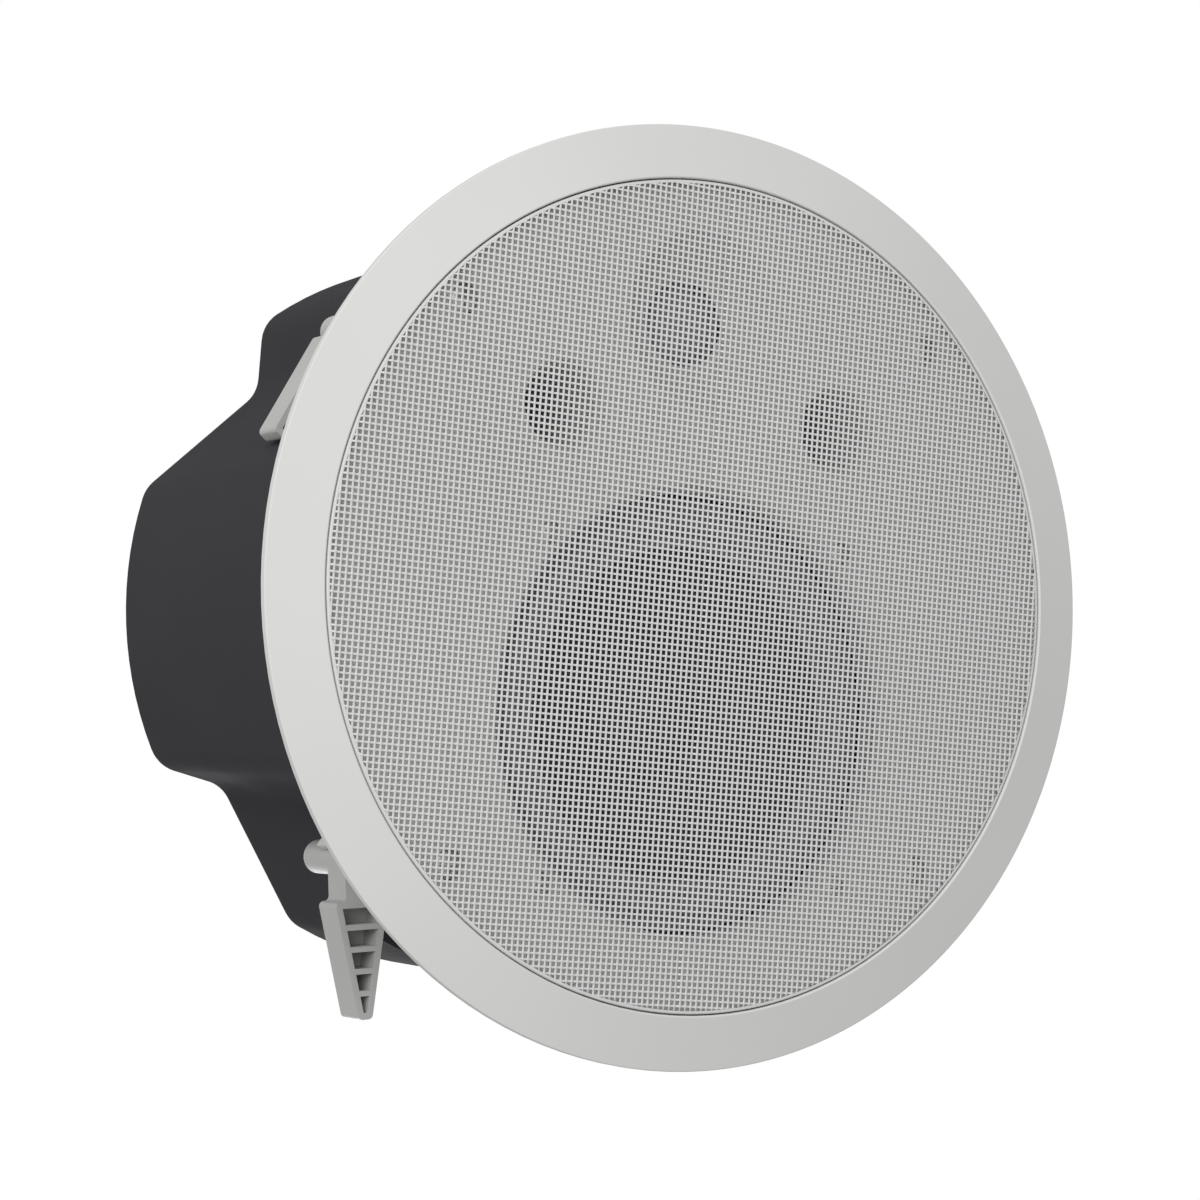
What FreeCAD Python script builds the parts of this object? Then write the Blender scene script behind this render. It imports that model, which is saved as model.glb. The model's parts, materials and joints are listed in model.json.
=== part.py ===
"""Two-way ceiling speaker with a perforated grille, swing-out clamps and a lobed back can.

Millimetres. +Z points up into the ceiling void, z = 0 is the ceiling face of the flange, and the
listening side faces down. +X is the right-hand side seen from below and -Y is the tweeter's side.
"""
import FreeCAD, Part
import math
import os
import re
import Sketcher
from FreeCAD import Placement, Rotation, Vector

# Driving sizes: each becomes one aliased cell of the sheet
SIZES = {
    # bezel, baffle and collar of the front frame
    "bezel_radius": 152.0,
    "bezel_edge": 2.5,
    "bezel_height": 7.2,
    "bezel_round": 0.5,
    "recess_radius": 134.0,
    "baffle_drop": 3.0,
    "baffle_wall": 3.5,
    "rim_wall": 6.0,
    "rim_inner_radius": 106.0,
    "collar_radius": 139.0,
    "collar_wall": 2.2,
    "collar_height": 8.0,
    # perforated grille
    "grille_gap": 0.5,
    "grille_sheet": 1.0,
    "grille_sink": 0.5,
    "grille_border": 2.6,
    "slot_pitch": 2.2,
    "slot_width": 1.4,
    "grid_turn": 3.0,
    # woofer
    "woofer_offset": 38.0,
    "woofer_opening": 71.0,
    "woofer_flare": 2.5,
    "woofer_seat": 8.0,
    "woofer_flange_radius": 82.0,
    "woofer_flange_wall": 2.5,
    "woofer_gasket_wall": 1.0,
    "woofer_screw_circle": 77.5,
    "woofer_screw_radius": 1.9,
    "screw_head_radius": 3.3,
    "screw_head_height": 2.0,
    "basket_wall": 1.6,
    "basket_depth": 37.0,
    "basket_foot_radius": 48.0,
    "window_width": 30.0,
    "window_foot_width": 20.0,
    "window_start": 5.0,
    "window_end": 30.0,
    "cone_radius": 58.0,
    "cone_depth": 24.0,
    "cone_wall": 0.8,
    "surround_roll": 4.0,
    "surround_lip": 4.0,
    "dust_cap_radius": 21.0,
    "dust_cap_rise": 8.0,
    "coil_radius": 16.0,
    "coil_wall": 0.6,
    "coil_length": 27.0,
    "coil_gap": 0.8,
    "spider_wave": 1.5,
    "spider_ledge": 4.0,
    "spider_seat": 43.0,
    "spider_wall": 0.5,
    "plate_wall": 6.0,
    "plate_radius": 47.0,
    "magnet_radius": 50.0,
    "magnet_bore": 23.0,
    "magnet_height": 16.0,
    "pole_vent": 5.0,
    "glue_line": 0.02,
    # tweeter behind its horn
    "tweeter_offset": 89.4,
    "horn_mouth": 29.0,
    "horn_throat": 14.0,
    "horn_depth": 14.0,
    "horn_wall": 2.5,
    "dome_radius": 12.5,
    "dome_rise": 4.6,
    "dome_wall": 0.4,
    "tweeter_radius": 24.0,
    "tweeter_ring_height": 6.0,
    "tweeter_seat_height": 3.0,
    "tweeter_throat_height": 1.2,
    "tweeter_roll": 1.05,
    "tweeter_roll_gap": 0.5,
    "tweeter_seat_reach": 4.2,
    "tweeter_lip": 1.0,
    "motor_radius": 22.0,
    "motor_height": 16.0,
    "tweeter_coil_length": 8.0,
    "tweeter_coil_wall": 0.5,
    "tweeter_coil_gap": 0.3,
    # bass-reflex ports
    "port_x": 51.7,
    "port_y": 57.3,
    "port_radius": 12.5,
    "port_wall": 2.0,
    "port_length": 85.0,
    "port_round": 1.6,
    "port_boss_wall": 2.5,
    "port_boss_height": 6.0,
    # back can
    "can_radius": 131.5,
    "can_depth": 168.5,
    "can_draft": 1.2,
    "can_wall": 3.0,
    "can_corner": 13.0,
    "can_rear_round": 6.0,
    "can_gasket_wall": 1.0,
    "lip_radius": 136.4,
    "lip_wall": 3.0,
    "lip_gap_reach": 63.5,
    "notch_flat": 113.7,
    "notch_step": 11.3,
    "bay_flat": 111.9,
    "bay_step": 9.0,
    "bay_knee": 14.0,
    "bay_end_flat": 115.9,
    "bay_end": 54.0,
    "bay_height": 95.0,
    "can_screw_circle": 134.0,
    "can_screw_radius": 1.4,
    "can_screw_length": 7.5,
    "can_head_radius": 2.2,
    "can_head_height": 1.8,
    "screw_angle_ahead": 6.0,
    "screw_angle_behind": 22.0,
    # swing-out clamps
    "pivot_radius": 123.5,
    "clamp_screw_radius": 2.5,
    "clamp_screw_length": 88.0,
    "clamp_head_radius": 4.6,
    "clamp_head_height": 3.0,
    "head_clearance": 0.4,
    "head_sink": 0.4,
    "arm_front": 59.5,
    "arm_height": 13.0,
    "arm_length": 51.7,
    "arm_shoulder": 13.5,
    "arm_base_half": 9.5,
    "arm_tip_half": 2.4,
    "arm_wall": 2.2,
    "arm_floor": 3.0,
    "arm_rib": 1.8,
    "arm_corner": 1.7,
    "boss_radius": 5.6,
    "boss_height": 33.0,
    "boss_round": 2.0,
    "insert_radius": 4.0,
    "insert_length": 10.0,
    "shaft_clearance": 0.12,
    "tower_clearance": 0.6,
    "tower_wall": 2.5,
    "tower_height": 73.5,
    # crossover and terminals
    "board_length": 90.0,
    "board_width": 60.0,
    "board_wall": 1.6,
    "post_radius": 4.0,
    "post_height": 8.0,
    "post_inset": 6.0,
    "inductor_radius": 16.0,
    "inductor_bore": 6.0,
    "inductor_height": 14.0,
    "inductor_x": 18.0,
    "capacitor_radius": 7.0,
    "capacitor_length": 28.0,
    "capacitor_x": 11.0,
    "capacitor_gap": 6.0,
    "board_screw_radius": 1.5,
    "board_screw_length": 7.0,
    "terminal_length": 40.0,
    "terminal_width": 14.0,
    "terminal_height": 13.0,
    "terminal_pitch": 9.0,
    "terminal_entry": 1.6,
    "terminal_entry_height": 4.3,
    "terminal_entry_depth": 4.7,
    "terminal_well_depth": 6.5,
    "terminal_screw_length": 4.3,
    "terminal_screw_radius": 2.0,
    # shared fit
    "fit_clearance": 0.1,
}

CLAMP_COUNT = 4
BASKET_WINDOWS = 6
ARM_POCKETS = 5
SPIDER_FOLDS = 8
TERMINAL_POLES = 4
TOWER_START = 160.0
TOWER_SPAN = 128.0
QUARTER = 90.0
NOTCH_SLOPE = 45.0
ARM_FOLD = 5.0
NEARLY_ALL = 0.9

# Angles of the can's notches about +Z: each has a twin half a turn on
NOTCHES = {"near": 48.0, "far": 149.4}

# Each clamp: its corner's angle about +Z, and the angle its arm is swung out at rest
CLAMPS = {
    "upper_left": (225.0, 0.0),
    "upper_right": (315.0, 0.0),
    "lower_right": (45.0, 0.0),
    "lower_left": (135.0, 46.0),
}

# Heights that several pieces share, as formulas of the sheet's cells
BAFFLE_FRONT = "-baffle_drop"
BAFFLE_REAR = "(baffle_wall - baffle_drop)"
RIM_REAR = "(rim_wall - baffle_drop)"
CAN_FRONT = f"({RIM_REAR} + can_gasket_wall)"
CAN_REAR = f"({CAN_FRONT} + can_depth)"
FLANGE_FRONT = "(woofer_seat + woofer_gasket_wall)"
CONE_REAR = f"({FLANGE_FRONT} + cone_depth)"
PLATE_FRONT = f"({FLANGE_FRONT} + basket_depth + basket_wall)"
MAGNET_FRONT = f"({PLATE_FRONT} + plate_wall)"
HORN_REAR = "(horn_depth - baffle_drop)"
MOTOR_FRONT = f"({HORN_REAR} + tweeter_ring_height)"
DIAPHRAGM = f"({HORN_REAR} + tweeter_seat_height)"
BOARD_REAR = f"({CAN_REAR} - can_wall - post_height)"

doc = FreeCAD.newDocument("ceiling_speaker")
sheet = doc.addObject("Spreadsheet::Sheet", "Sizes")
for row, (alias, value) in enumerate(SIZES.items(), 1):
    sheet.set(f"A{row}", alias)
    sheet.set(f"B{row}", str(value))
    sheet.setAlias(f"B{row}", alias)
doc.recompute()

nodes = []


def tied(formula):
    """The formula with each size's name pointing at its cell: every alias has an underscore."""
    return re.sub(r"\b[a-z]+(?:_[a-z]+)+\b", lambda word: f"Sizes.{word.group(0)}", formula)


def bind(thing, **formulas):
    """Tie properties of an object to the sheet."""
    for name, formula in formulas.items():
        thing.setExpression(name, tied(formula))
    return thing


def put(thing, spot, carrier="Placement"):
    """Tie the place of an object, or of a feature's attachment, to the sheet."""
    for axis, formula in zip("xyz", spot):
        thing.setExpression(f"{carrier}.Base.{axis}", tied(formula))
    return thing


def node(thing, name):
    """Name a finished sub-part."""
    thing.Label = name
    nodes.append(thing)
    return thing


# Part Design helpers
def new_body(name):
    body = doc.addObject("PartDesign::Body", name)
    doc.recompute()
    return body


def origin_of(body, role):
    return next(item for item in body.Origin.OriginFeatures if item.Role == role)


def sketch_on(body, name, plane="XY_Plane", shift=("0", "0", "0"), turn=0.0):
    sketch = body.newObject("Sketcher::SketchObject", name)
    sketch.AttachmentSupport = [(origin_of(body, plane), "")]
    sketch.MapMode = "FlatFace"
    sketch.AttachmentOffset = Placement(Vector(), Rotation(Vector(0, 0, 1), turn))
    return put(sketch, shift, "AttachmentOffset")


def fix_point(sketch, geometry, end, x, y):
    """Hold a sketch point at two formulas, measured from the sketch's origin."""
    for kind, formula in (("DistanceX", x), ("DistanceY", y)):
        index = sketch.addConstraint(Sketcher.Constraint(kind, -1, 1, geometry, end, 1.0))
        sketch.setExpression(f"Constraints[{index}]", tied(formula))


def outline(sketch, corners):
    """Closed run of straight lines through corners given as pairs of formulas."""
    count = len(corners)
    first = sketch.GeometryCount
    turns = [2 * math.pi * i / count for i in range(count)]
    start = [Vector(math.cos(turn), math.sin(turn), 0) for turn in turns]
    for i in range(count):
        sketch.addGeometry(Part.LineSegment(start[i], start[(i + 1) % count]))
    for i in range(count):
        sketch.addConstraint(Sketcher.Constraint("Coincident", first + i, 2, first + (i + 1) % count, 1))
    for i, (x, y) in enumerate(corners):
        fix_point(sketch, first + i, 1, x, y)


def circle(sketch, x, y, radius):
    index = sketch.addGeometry(Part.Circle(Vector(1, 1, 0), Vector(0, 0, 1), 1.0))
    fix_point(sketch, index, 3, x, y)
    size = sketch.addConstraint(Sketcher.Constraint("Radius", index, 1.0))
    sketch.setExpression(f"Constraints[{size}]", tied(radius))


def spin(body, name, corners, shift=("0", "0", "0"), kind="Revolution"):
    """Turned feature: an outline of (radius, height) corners carried round the vertical through shift."""
    sketch = sketch_on(body, f"{name}_section", "XZ_Plane", (shift[0], shift[2], f"-({shift[1]})"))
    outline(sketch, corners)
    feature = body.newObject(f"PartDesign::{kind}", name)
    feature.Profile = sketch
    feature.ReferenceAxis = (sketch, ["V_Axis"])
    feature.Angle = 360.0
    return feature


def pad(body, name, sketch, length, **formulas):
    feature = body.newObject("PartDesign::Pad", name)
    feature.Profile = sketch
    return bind(feature, Length=length, **formulas)


def pocket(body, name, sketch, length, upwards=False):
    """Cut from the sketch's plane down, or up."""
    feature = body.newObject("PartDesign::Pocket", name)
    feature.Profile = sketch
    feature.Reversed = upwards
    return bind(feature, Length=length)


def drum(body, name, kind, spot, turn=0.0, **formulas):
    """Round Part Design primitive that stands at a spot of the body."""
    feature = body.newObject(f"PartDesign::{kind}", name)
    feature.AttachmentSupport = [(origin_of(body, "XY_Plane"), "")]
    feature.MapMode = "FlatFace"
    feature.AttachmentOffset = Placement(Vector(), Rotation(Vector(0, 0, 1), turn))
    return bind(put(feature, spot, "AttachmentOffset"), **formulas)


def around(body, name, features, count):
    """Repeat features round the body's vertical axis."""
    pattern = body.newObject("PartDesign::PolarPattern", name)
    pattern.Originals = features
    pattern.Axis = (origin_of(body, "Z_Axis"), [""])
    pattern.Angle = 360.0
    pattern.Occurrences = count
    body.Tip = pattern
    return pattern


def round_edges(body, name, radius, chosen):
    """Fillet the edges of the body's last feature that the test picks."""
    doc.recompute()
    base = body.Tip
    picked = [f"Edge{i}" for i, edge in enumerate(base.Shape.Edges, 1) if chosen(edge, base.Shape)]
    feature = body.newObject("PartDesign::Fillet", name)
    feature.Base = (base, picked)
    bind(feature, Radius=radius)
    return feature


# Part workbench helpers
def rod(name, spot, radius, height):
    shape = doc.addObject("Part::Cylinder", name)
    return bind(put(shape, spot), Radius=radius, Height=height)


def block(name, spot, length, width, height):
    shape = doc.addObject("Part::Box", name)
    return bind(put(shape, spot), Length=length, Width=width, Height=height)


def cut(name, base, tool):
    result = doc.addObject("Part::Cut", name)
    result.Base = base
    result.Tool = tool
    return result


def joined(name, kind, shapes):
    result = doc.addObject(f"Part::{kind}", name)
    if kind == "Compound":
        result.Links = shapes
    else:
        result.Shapes = shapes
    return result


def tube(name, spot, outer, inner, height):
    return cut(name, rod(f"{name}_outside", spot, outer, height), rod(f"{name}_inside", spot, inner, height))


def corner_spots(circle_size, offset="0"):
    """The four corners at 45 degrees on a circle about (0, offset)."""
    reach = f"{circle_size} * cos(45)"
    return [(f"{sx} * {reach}", f"{offset} + {sy} * {reach}") for sx in (-1, 1) for sy in (-1, 1)]


def heights(shape):
    return [vertex.Z for vertex in shape.Vertexes]


def upright(edge, solid):
    """True for an edge that climbs the whole height of its solid."""
    rise = max(heights(solid)) - min(heights(solid))
    return max(heights(edge)) - min(heights(edge)) > rise * NEARLY_ALL


def topmost(edge, solid):
    """True for an edge of the solid's top face."""
    return min(heights(edge)) > max(heights(solid)) - SIZES["fit_clearance"]


def bezel_rim(edge, solid):
    """True for the two front edges of the bezel's sloping face."""
    inner = Vector(SIZES["recess_radius"], -SIZES["bezel_height"], 0)
    outer = Vector(SIZES["bezel_radius"], -SIZES["bezel_edge"], 0)
    point = edge.Vertexes[0].Point
    here = Vector(math.hypot(point.x, point.y), point.z, 0)
    on_rim = min(here.distanceToPoint(inner), here.distanceToPoint(outer)) < SIZES["fit_clearance"]
    return on_rim and edge.Curve.TypeId == "Part::GeomCircle"


# Front frame: bezel, baffle, collar, horn, driver seats and clamp towers in one moulding
def front_frame():
    body = new_body("front_frame")
    spin(body, "bezel_and_baffle", [
        ("0", BAFFLE_FRONT),
        ("recess_radius", BAFFLE_FRONT),
        ("recess_radius", "-bezel_height"),
        ("bezel_radius", "-bezel_edge"),
        ("bezel_radius", "0"),
        ("collar_radius", "0"),
        ("collar_radius", "collar_height"),
        ("collar_radius - collar_wall", "collar_height"),
        ("collar_radius - collar_wall", RIM_REAR),
        ("rim_inner_radius", RIM_REAR),
        ("rim_inner_radius", BAFFLE_REAR),
        ("0", BAFFLE_REAR),
    ])
    round_edges(body, "bezel_edges", "bezel_round", bezel_rim)
    woofer_spot = ("0", "woofer_offset", BAFFLE_FRONT)
    drum(body, "woofer_seat_ring", "AdditiveCylinder", woofer_spot,
         Radius="woofer_flange_radius", Height="woofer_seat + baffle_drop")
    drum(body, "horn_back", "AdditiveCone", ("0", "-tweeter_offset", BAFFLE_FRONT),
         Radius1="horn_mouth + horn_wall", Radius2="tweeter_radius", Height="horn_depth")
    for side, sign in (("left", "-"), ("right", "")):
        drum(body, f"port_boss_{side}", "AdditiveCylinder", (f"{sign}port_x", "-port_y", BAFFLE_FRONT),
             Radius="port_radius + port_wall + port_boss_wall", Height="port_boss_height + baffle_drop")
    drum(body, "woofer_hole", "SubtractiveCylinder", woofer_spot,
         Radius="woofer_opening", Height="woofer_seat + baffle_drop")
    drum(body, "woofer_flare", "SubtractiveCone", woofer_spot,
         Radius1="woofer_opening + woofer_flare", Radius2="woofer_opening", Height="woofer_flare")
    drum(body, "horn", "SubtractiveCone", ("0", "-tweeter_offset", BAFFLE_FRONT),
         Radius1="horn_mouth", Radius2="horn_throat", Height="horn_depth")
    for side, sign in (("left", "-"), ("right", "")):
        drum(body, f"port_hole_{side}", "SubtractiveCylinder", (f"{sign}port_x", "-port_y", BAFFLE_FRONT),
             Radius="port_radius + port_wall + fit_clearance", Height="port_boss_height + baffle_drop")

    shafts = sketch_on(body, "woofer_screw_shafts", shift=("0", "0", BAFFLE_FRONT))
    heads = sketch_on(body, "woofer_screw_heads", shift=("0", "0", BAFFLE_FRONT))
    for x, y in corner_spots("woofer_screw_circle", "woofer_offset"):
        circle(shafts, x, y, "woofer_screw_radius + fit_clearance")
        circle(heads, x, y, "screw_head_radius + head_clearance")
    pocket(body, "woofer_screw_holes", shafts, "woofer_seat + baffle_drop", upwards=True)
    pocket(body, "woofer_screw_sinks", heads, "screw_head_height", upwards=True)

    pilots = sketch_on(body, "can_screw_spots", shift=("0", "0", RIM_REAR))
    for angle in ("screw_angle_ahead", "-screw_angle_behind"):
        circle(pilots, f"can_screw_circle * cos({angle})", f"can_screw_circle * sin({angle})",
               "can_screw_radius + fit_clearance")
    pilot_cut = pocket(body, "can_screw_pilots", pilots,
                       "can_screw_length - lip_wall - can_gasket_wall + fit_clearance")
    around(body, "can_screw_pilots_round", [pilot_cut], CLAMP_COUNT)

    for corner, (angle, _) in CLAMPS.items():
        behind = clamp_spot(corner, RIM_REAR)
        ahead = clamp_spot(corner, BAFFLE_FRONT)
        tower = drum(body, f"tower_{corner}", "AdditiveCylinder", behind,
                     turn=angle - TOWER_START - TOWER_SPAN,
                     Radius="boss_radius + tower_clearance + tower_wall", Height="tower_height")
        tower.Angle = TOWER_SPAN
        drum(body, f"tower_channel_{corner}", "SubtractiveCylinder", behind,
             Radius="boss_radius + tower_clearance", Height="tower_height")
        drum(body, f"clamp_screw_way_{corner}", "SubtractiveCylinder", ahead,
             Radius="clamp_screw_radius + head_clearance", Height="rim_wall")
        drum(body, f"clamp_screw_sink_{corner}", "SubtractiveCylinder", ahead,
             Radius="clamp_head_radius + head_clearance", Height="clamp_head_height + head_sink")
    return node(body, "front_frame")


# Grille: one pressed sheet with a folded rim
def grille():
    body = new_body("grille_pan")
    rim = "(recess_radius - grille_gap)"
    front = "(grille_sink - bezel_height)"
    spin(body, "pan", [
        ("0", front),
        (rim, front),
        (rim, BAFFLE_FRONT),
        (f"{rim} - grille_sheet", BAFFLE_FRONT),
        (f"{rim} - grille_sheet", f"{front} + grille_sheet"),
        ("0", f"{front} + grille_sheet"),
    ])
    reach = SIZES["recess_radius"] - SIZES["grille_gap"] - SIZES["grille_border"]
    columns = int((reach - SIZES["slot_width"]) / SIZES["slot_pitch"])
    clear = "(recess_radius - grille_gap - grille_border)"
    slots = new_body("slots")
    slots.Placement = Placement(Vector(), Rotation(Vector(0, 0, 1), SIZES["grid_turn"]))
    slot = slots.newObject("PartDesign::AdditiveBox", "slot")
    slot.AttachmentSupport = [(origin_of(slots, "XY_Plane"), "")]
    slot.MapMode = "FlatFace"
    bind(put(slot, (f"-slot_width / 2 - {columns} * slot_pitch", f"-{clear}", front), "AttachmentOffset"),
         Length="slot_width", Width=f"2 * {clear}", Height="grille_sheet")
    row = slots.newObject("PartDesign::LinearPattern", "slot_row")
    row.Originals = [slot]
    row.Direction = (origin_of(slots, "X_Axis"), [""])
    row.Occurrences = 2 * columns + 1
    bind(row, Length=f"{2 * columns} * slot_pitch")
    slots.Tip = row
    field = rod("perforated_field", ("0", "0", front), clear, "grille_sheet")
    holes = joined("perforation", "MultiCommon", [slots, field])
    return node(cut("grille_sheet_cut", body, holes), "grille")


# Lobed solid that the can, its cavity and its gasket share
def lobed(name, base, height, inset, bay_height, rear_round=None):
    """Drafted drum, inset from the can's skin, with stepped notches and a bay for each folded clamp."""
    body = new_body(name)
    section = sketch_on(body, f"{name}_circle", shift=("0", "0", base), turn=QUARTER / 2)
    circle(section, "0", "0", f"can_radius - {inset}")
    pad(body, f"{name}_drum", section, height, TaperAngle="-can_draft")
    wide = "can_radius"
    lean = f"{inset} * tan({NOTCH_SLOPE / 2})"
    for label, turn in NOTCHES.items():
        notch = sketch_on(body, f"{name}_{label}_notch_outline", shift=("0", "0", base), turn=turn)
        flat = f"(notch_flat - {inset})"
        step = f"({lean} - notch_step)"
        outline(notch, [
            (flat, step),
            (flat, f"-{wide}"),
            (f"{flat} + {wide}", f"-{wide}"),
            (f"{flat} + {wide}", f"{step} + {wide}"),
        ])
        notch_cut = pocket(body, f"{name}_{label}_notch", notch, height, upwards=True)
        bind(notch_cut, TaperAngle="can_draft")
        around(body, f"{name}_{label}_notches", [notch_cut], CLAMP_COUNT // 2)
    round_edges(body, f"{name}_corners", "can_corner", upright)
    if rear_round:
        round_edges(body, f"{name}_rear_edge", rear_round, topmost)
    bay = sketch_on(body, f"{name}_bay_outline", shift=("0", "0", base), turn=QUARTER / 2)
    floor, far_floor = f"(bay_flat - {inset})", f"(bay_end_flat - {inset})"
    step, end = f"(bay_step + {lean})", f"(bay_end + {inset})"
    outline(bay, [
        (floor, step),
        (floor, "-bay_knee"),
        (far_floor, f"-{end}"),
        (f"{far_floor} + {wide}", f"-{end}"),
        (f"{floor} + {wide}", f"{step} + {wide}"),
    ])
    bay_cut = pocket(body, f"{name}_bay", bay, bay_height, upwards=True)
    around(body, f"{name}_bays", [bay_cut], CLAMP_COUNT)
    return body


def back_can():
    skin = lobed("can_skin", CAN_FRONT, "can_depth", "0", "bay_height", "can_rear_round")
    cavity = lobed("can_cavity", CAN_FRONT, "can_depth - can_wall", "can_wall", "bay_height + can_wall",
                   "can_rear_round - can_wall")
    lip = new_body("can_lip")
    spin(lip, "lip_ring", [
        ("can_radius - can_wall / 2", CAN_FRONT),
        ("lip_radius", CAN_FRONT),
        ("lip_radius", f"{CAN_FRONT} + lip_wall"),
        ("can_radius - can_wall / 2", f"{CAN_FRONT} + lip_wall"),
    ])
    gap = sketch_on(lip, "lip_gap", shift=("0", "0", CAN_FRONT), turn=QUARTER / 2)
    outline(gap, [
        ("bay_flat", "bay_step + can_corner"),
        ("bay_flat", "-lip_gap_reach"),
        ("bay_flat + lip_radius", "-lip_gap_reach"),
        ("bay_flat + lip_radius", "bay_step + can_corner + lip_radius"),
    ])
    lip_cut = pocket(lip, "lip_gap_cut", gap, "lip_wall", upwards=True)
    around(lip, "lip_gaps", [lip_cut], CLAMP_COUNT)
    holes = sketch_on(lip, "lip_hole_spots", shift=("0", "0", CAN_FRONT))
    for angle in ("screw_angle_ahead", "-screw_angle_behind"):
        circle(holes, f"can_screw_circle * cos({angle})", f"can_screw_circle * sin({angle})",
               "can_screw_radius + head_clearance")
    hole_cut = pocket(lip, "lip_holes", holes, "lip_wall", upwards=True)
    around(lip, "lip_holes_round", [hole_cut], CLAMP_COUNT)
    posts = [rod(f"board_post_{i}", (x, y, BOARD_REAR), "post_radius", "post_height + can_wall / 2")
             for i, (x, y) in enumerate(board_corners())]
    shell = cut("can_shell", skin, cavity)
    whole = joined("can_moulding", "MultiFuse", [shell, lip, *posts])
    pilots = joined("board_post_pilots", "MultiFuse", [
        rod(f"board_pilot_{i}", (x, y, BOARD_REAR), "board_screw_radius + fit_clearance",
            "board_screw_length - board_wall + fit_clearance") for i, (x, y) in enumerate(board_corners())])
    return node(cut("can", whole, pilots), "back_can")


def can_gasket():
    outside = lobed("gasket_outside", RIM_REAR, "can_gasket_wall", "fit_clearance", "can_gasket_wall")
    inside = lobed("gasket_inside", RIM_REAR, "can_gasket_wall", "(can_wall - fit_clearance)",
                   "can_gasket_wall")
    return node(cut("gasket", outside, inside), "can_gasket")


def screw(name, spot, radius, length, head_radius, head_height, upside=1):
    """Pan-head screw: spot is under the head, and upside is the way that the shank points."""
    x, y, z = spot
    shank_z = z if upside > 0 else f"{z} - ({length})"
    head_z = f"{z} - ({head_height})" if upside > 0 else z
    shank = rod(f"{name}_shank", (x, y, shank_z), radius, length)
    head = rod(f"{name}_head", (x, y, head_z), head_radius, head_height)
    return joined(name, "MultiFuse", [shank, head])


def can_screws():
    under_head = f"{CAN_FRONT} + lip_wall"
    screws = []
    for lobe in range(CLAMP_COUNT):
        for turn in ("screw_angle_ahead", "-screw_angle_behind"):
            angle = f"({lobe * QUARTER} + {turn})"
            spot = (f"can_screw_circle * cos({angle})", f"can_screw_circle * sin({angle})", under_head)
            screws.append(screw(f"can_screw_{len(screws)}", spot, "can_screw_radius", "can_screw_length",
                                "can_head_radius", "can_head_height", upside=-1))
    return node(joined("can_screw_set", "Compound", screws), "can_screws")


# Woofer
def at_woofer(height):
    return ("0", "woofer_offset", height)


def woofer_gasket():
    ring = tube("woofer_gasket_ring", at_woofer("woofer_seat"), "woofer_flange_radius", "woofer_opening",
                "woofer_gasket_wall")
    spots = corner_spots("woofer_screw_circle", "woofer_offset")
    holes = joined("woofer_gasket_holes", "MultiFuse", [
        rod(f"woofer_gasket_hole_{i}", (x, y, "woofer_seat"), "woofer_screw_radius + fit_clearance",
            "woofer_gasket_wall") for i, (x, y) in enumerate(spots)])
    return node(cut("woofer_gasket_cut", ring, holes), "woofer_gasket")


def woofer_basket():
    body = new_body("woofer_basket")
    put(body, at_woofer(FLANGE_FRONT))
    throat = "(cone_radius + 2 * surround_roll)"
    spin(body, "pressing", [
        (throat, "0"),
        ("woofer_flange_radius", "0"),
        ("woofer_flange_radius", "woofer_flange_wall"),
        (f"{throat} + basket_wall", "woofer_flange_wall"),
        ("basket_foot_radius + basket_wall", "basket_depth + basket_wall"),
        ("magnet_bore", "basket_depth + basket_wall"),
        ("magnet_bore", "basket_depth"),
        ("spider_seat", "basket_depth"),
        ("spider_seat", "basket_depth - spider_ledge"),
        ("basket_foot_radius", "basket_depth - spider_ledge"),
        (throat, "woofer_flange_wall"),
    ])
    window = sketch_on(body, "window_outline", "XZ_Plane", ("0", "0", "woofer_flange_radius"))
    outline(window, [
        ("-window_width / 2", "window_start"),
        ("window_width / 2", "window_start"),
        ("window_foot_width / 2", "window_end"),
        ("-window_foot_width / 2", "window_end"),
    ])
    opening = pocket(body, "window", window, "woofer_flange_radius - magnet_bore")
    around(body, "windows", [opening], BASKET_WINDOWS)
    holes = sketch_on(body, "flange_holes")
    for x, y in corner_spots("woofer_screw_circle"):
        circle(holes, x, y, "woofer_screw_radius + fit_clearance")
    pocket(body, "flange_hole_cut", holes, "woofer_flange_wall", upwards=True)
    return node(body, "woofer_basket")


def woofer_surround():
    """Half-roll of rubber between the cone's edge and the basket's flange."""
    middle = "(cone_radius + surround_roll)"
    outer = doc.addObject("Part::Torus", "surround_outside")
    inner = doc.addObject("Part::Torus", "surround_inside")
    for ring, tube_radius in ((outer, "surround_roll"), (inner, "surround_roll - cone_wall")):
        bind(put(ring, at_woofer(FLANGE_FRONT)), Radius1=middle, Radius2=tube_radius)
    roll = cut("surround_hose", outer, inner)
    lower = rod("surround_lower", at_woofer(f"{FLANGE_FRONT} - surround_roll"),
                "woofer_flange_radius", "surround_roll")
    half = joined("surround_half", "MultiCommon", [roll, lower])
    level = at_woofer(f"{FLANGE_FRONT} - cone_wall")
    edge = "cone_radius + 2 * surround_roll"
    outer_lip = tube("surround_outer_lip", level, f"{edge} + surround_lip", f"{edge} - cone_wall",
                     "cone_wall")
    inner_lip = tube("surround_inner_lip", level, "cone_radius + cone_wall", "cone_radius - surround_lip",
                     "cone_wall")
    return node(joined("surround", "MultiFuse", [half, outer_lip, inner_lip]), "woofer_surround")


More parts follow.
